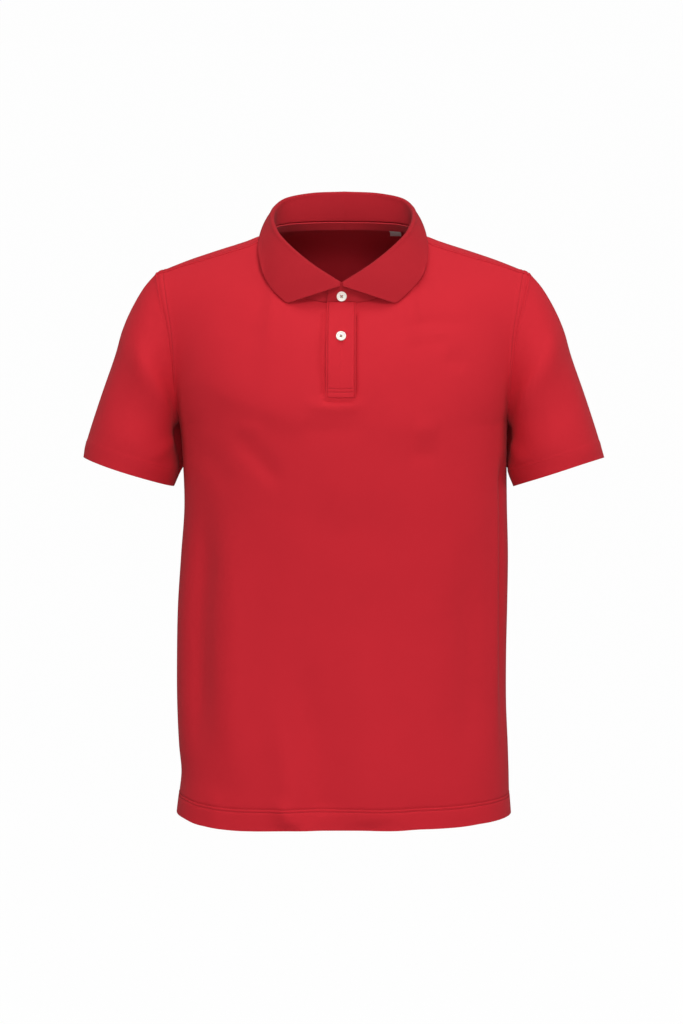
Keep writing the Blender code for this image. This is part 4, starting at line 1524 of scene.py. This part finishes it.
@dataclass
class Placket:
    """The strip over the neck slot, the strip under it, and the two buttons."""

    torso: Torso
    collar: Collar
    button: Button = field(default_factory=Button)
    cloth: float = 0.0016
    under_cloth: float = 0.0014
    lay_gap: float = 0.0005
    drop: float = 0.03
    top: float = 0.9995
    span: float = 0.0816
    lifted: float = 0.0022
    side_stitch: float = 0.0017
    end_stitch: float = 0.0060
    stitch_gap: float = 0.0035
    stitch_sunk: float = 0.0010
    top_button_z: float = -0.0674
    second_button_z: float = -0.1124
    spans: Array = field(init=False)
    rises: Array = field(init=False)
    upper: Cloth = field(init=False)
    under: Cloth = field(init=False)

    def __post_init__(self) -> None:
        """Works out both strips."""
        form = self.torso.form
        bottom = self.torso.slot_rise - self.drop
        first = bottom + np.array((0, 0.003, 0.008, 0.014))
        self.rises = np.concatenate([first, np.linspace(0.255, self.top, 88)])
        aside = np.linspace(0.75, 1, 9)
        self.spans = np.concatenate([-aside[::-1], np.linspace(-0.7, 0.7, 15), aside])
        points = form.points(self.spans * self.span, self.rises, Facing.FRONT)
        rise, across = np.broadcast_arrays(self.rises[:, None], self.spans[None])
        free = bell(rise - 0.55, 0.18) * step(-across, -0.3, 1.0) ** 1.5
        wave = 0.0003 * np.sin(rise * 21.0 + across) * step(rise, bottom, 0.4)
        edge = bell((1 - np.abs(across)) * self.strip_half() - self.side_stitch, 0.0007)
        low = (rise - bottom) * self.strip_length() - self.end_stitch
        ends = bell(low, 0.0006) + 0.6 * bell(low - self.stitch_gap, 0.0006)
        relief = -self.stitch_sunk * np.maximum(edge, ends * (np.abs(across) < 0.86))
        self.upper = Cloth(points).lifted(self.lay_gap + self.cloth + self.lifted * free + wave + relief)
        inset = self.torso.slot_span * 0.97
        levels = np.linspace(self.torso.slot_rise + 0.004, self.top, 40)
        self.under = Cloth(form.points(np.linspace(-inset, inset, 9), levels, Facing.FRONT))

    def strip_half(self) -> float:
        """Half the strip's width."""
        ends = self.torso.form.line(np.array((0.0, self.span)), 0.5, Facing.FRONT)
        return float(np.linalg.norm(ends[1] - ends[0]))

    def strip_length(self) -> float:
        """The length of the front for one unit of level, at the middle."""
        line = self.torso.form.points(np.array((0.0,)), np.linspace(0.2, 1, 30), Facing.FRONT)[:, 0]
        return float(lengths(line)[-1] / 0.8)

    def stitches(self) -> bpy.types.Object:
        """The stitches along both edges and across the lower end."""
        stitch = Stitch(pitch=0.0026, length=0.0021, thread=0.00036)
        low = (self.rises - self.rises[0]) * self.strip_length()
        first, second = nearest(low, self.end_stitch), nearest(low, self.end_stitch + self.stitch_gap)
        left = nearest(self.spans, self.side_stitch / self.strip_half() - 1)
        right = len(self.spans) - 1 - left
        paths = [self.upper.along_column(at)[first:-1] for at in (left, right)]
        paths += [self.upper.along_row(at)[left : right + 1] for at in (first, second)]
        return join("placket_stitches", [stitch.row(path) for path in paths])

    def on_strip(self, z: float) -> tuple[Array, Array]:
        """The place and the outward direction on the strip's middle, at a height."""
        middle = len(self.spans) // 2
        row = nearest(self.upper.points[:, middle, 2], z)
        return self.upper.points[row, middle], self.upper.normals()[row, middle]

    def on_stand(self, z: float) -> tuple[Array, Array]:
        """The same on the stand's upper end."""
        line = self.collar.stand.points[:, self.collar.lap_columns]
        place = np.array([np.interp(z, line[:, 2], line[:, k]) for k in range(3)])
        rise = unit(line[-1] - line[0])
        return place, np.array((0.0, -rise[2], rise[1]))

    def dress(self, finishes: Finishes) -> None:
        """Builds the strips and buttons and gives them their finish."""
        upper = sew("placket_strip", self.upper, self.cloth, edge=0.35)
        under = sew("placket_lining", self.under, self.under_cloth, edge=0.2)
        finishes.dress(upper, finishes.knit, "placket")
        finishes.dress(under, finishes.knit, "placket_under")
        thread = finishes.dress(self.stitches(), finishes.thread)
        self.button.sew_on("button_upper", "button_top", *self.on_stand(self.top_button_z), finishes)
        self.button.sew_on("button_lower", "button_second", *self.on_strip(self.second_button_z), finishes)


@dataclass
class Inside:
    """The neck tape and the bare label on the inner side of the back."""

    torso: Torso
    tape_span: float = 0.39
    tape_levels: tuple[float, float] = (1.10, 1.98)
    tape_raised: float = 0.0026
    tape_over: float = 0.0010
    label_spans: tuple[float, float] = (0.218, 0.280)
    label_levels: tuple[float, float] = (0.938, 1.30)
    tape_cloth: float = 0.0010
    tape_away: float = 0.0008
    label_cloth: float = 0.0005
    tape_clear: float = 0.0010
    label_clear: float = 0.0006
    label_away: float = 0.0016
    seam_raised: float = 0.0005
    ends_raised: float = 0.0015
    tape_columns: int = 121
    tape_rows: int = 13
    label_columns: int = 17
    label_rows: int = 25

    def inner(self, spans: Array, levels: Array, clear: float) -> Cloth:
        """A sheet along the inner side of the back, seen from inside."""
        points = self.torso.form.points(spans, levels, Facing.BACK)
        inward = -Cloth(points[:, ::-1]).normals()[:, ::-1]
        return Cloth(points + inward * (self.torso.cloth + clear))

    def dress(self, finishes: Finishes) -> None:
        """Builds both and gives them their finish."""
        fine = Stitch(pitch=0.0024, length=0.0019, thread=0.00032)
        spans = np.linspace(-self.tape_span, self.tape_span, self.tape_columns)
        up = np.linspace(0, 1, self.tape_rows)
        tape = self.inner(spans, np.interp(up, (0, 1), self.tape_levels), self.tape_clear + self.tape_cloth)
        up = up[:, None]
        seam = self.seam_raised * bell(spans, 0.0045)
        tape = tape.lifted(seam + self.tape_away * (1 - up) ** 2 + self.tape_over * up**2)
        ends = self.ends_raised * (1 - up) * (spans / self.tape_span) ** 2
        tape.points[..., 2] += self.tape_raised * up**2 + ends
        band = sew("neck_tape_band", tape, self.tape_cloth)
        finishes.dress(band, finishes.tape, "neck_tape")
        rows = [fine.row(tape.along_row(at)[1:-1]) for at in (1, self.tape_rows - 2)]
        rows.append(fine.row(tape.along_column(self.tape_columns // 2)[1:-1]))
        thread = join("tape_stitches", rows)
        finishes.dress(thread, finishes.thread)
        spans = np.linspace(*self.label_spans, self.label_columns)
        levels = np.linspace(*self.label_levels, self.label_rows)
        hang = self.label_away * step(np.linspace(1, 0, self.label_rows), 0.15, 0.75)
        label = self.inner(spans, levels, self.label_clear).lifted(hang[:, None])
        flag = sew("bare_label", label, self.label_cloth)
        tacks = join("label_stitches", [fine.row(label.along_row(self.label_rows - 3)[1:-1])])
        finishes.dress(flag, finishes.label, "neck_label")
        finishes.dress(tacks, finishes.thread)


@dataclass(frozen=True)
class Studio:
    """The camera of the photograph, soft lights, and a pale floor that sweeps up all round."""

    target: tuple[float, float, float] = (-0.0018, 0.0, -0.33)
    distance: float = 6.0
    elevation: float = 6.5
    azimuth: float = 1.2
    scale: float = 843.0
    image: tuple[int, int] = (683, 1024)
    sensor: float = 36.0
    floor_radius: float = 80.0
    floor_drop: float = 1.45
    floor_glow: float = 0.982
    air: float = 0.27
    # each light's name, place, width and power, and the point that they all look at
    lamps: tuple[tuple[str, tuple[float, float, float], float, float], ...] = (
        ("key_light", (0.6, -2.4, 2.1), 1.4, 41.0),
        ("overhead_light", (0.0, -0.3, 3.2), 2.0, 47.0),
        ("front_light", (0.0, -3.2, -0.6), 2.0, 37.0),
        ("left_light", (2.8, -1.2, 0.2), 1.6, 18.0),
        ("right_light", (-2.8, -1.2, 0.2), 1.6, 13.0),
    )
    lit: tuple[float, float, float] = (0.0, 0.0, -0.3)

    def build(self) -> None:
        """Sets the studio up."""
        self.camera()
        self.sweep()
        self.lights()
        world = bpy.data.worlds.new("studio_air")
        bpy.context.scene.world = world
        world.use_nodes = True
        sky = world.node_tree.nodes["Background"]
        sky.inputs["Color"].default_value = (1.0, 1.0, 1.0, 1.0)
        sky.inputs["Strength"].default_value = self.air
        bpy.context.scene.view_settings.view_transform = "Standard"

    def camera(self) -> None:
        """The camera, on the photograph's line of sight."""
        a, e = math.radians(self.azimuth), math.radians(self.elevation)
        back = Vector((math.sin(a) * math.cos(e), -math.cos(a) * math.cos(e), math.sin(e)))
        bpy.ops.object.camera_add(location=Vector(self.target) + back * self.distance)
        camera = bpy.context.object
        camera.name = "camera"
        camera.rotation_mode = "QUATERNION"
        camera.rotation_quaternion = (-back).to_track_quat("-Z", "Y")
        camera.data.sensor_width = self.sensor
        camera.data.lens = self.sensor * self.scale * self.distance / max(self.image)
        camera.data.clip_end = 400.0
        bpy.context.scene.camera = camera

    def sweep(self) -> None:
        """A wide pale floor that curves up into a pale wall all round, lit evenly by itself."""
        deselect()
        bpy.ops.mesh.primitive_uv_sphere_add(segments=96, ring_count=48, radius=self.floor_radius)
        floor = bpy.context.object
        floor.name = "studio_floor"
        points = positions(floor.data)
        points[:, 2] = np.maximum(points[:, 2], -self.floor_drop)
        floor.data.vertices.foreach_set("co", points.ravel())
        with editing(select_all=True):
            bpy.ops.mesh.flip_normals()
        bpy.ops.object.shade_smooth()
        graph = Graph("studio_paper")
        graph.set(base_color=(0.02, 0.02, 0.02, 1.0), roughness=1.0, specular_ior_level=0.0)
        graph.set(emission_color=(1.0, 1.0, 1.0, 1.0), emission_strength=self.floor_glow)
        floor.data.materials.append(graph.material)
        floor.visible_diffuse = False
        floor.visible_glossy = False
        floor.visible_shadow = False

    def lights(self) -> None:
        """Large soft lights round the front."""
        for name, place, size, power in self.lamps:
            toward = Vector(self.lit) - Vector(place)
            bpy.ops.object.light_add(type="AREA", location=place)
            light = bpy.context.object
            light.name = name
            light.rotation_euler = toward.to_track_quat("-Z", "Y").to_euler()
            light.data.shape = "DISK"
            light.data.size = size
            light.data.energy = power


def main() -> None:
    """Builds the shirt and the studio."""
    logging.basicConfig(level=logging.INFO, format="%(message)s")
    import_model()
    finishes = Finishes()
    torso = Torso()
    torso.dress(finishes)
    for side in Side:
        Sleeve(side, torso).dress(finishes)
    collar = Collar(torso)
    collar.dress(finishes)
    Placket(torso, collar).dress(finishes)
    Inside(torso).dress(finishes)
    Studio().build()


if __name__ == "__main__":
    main()
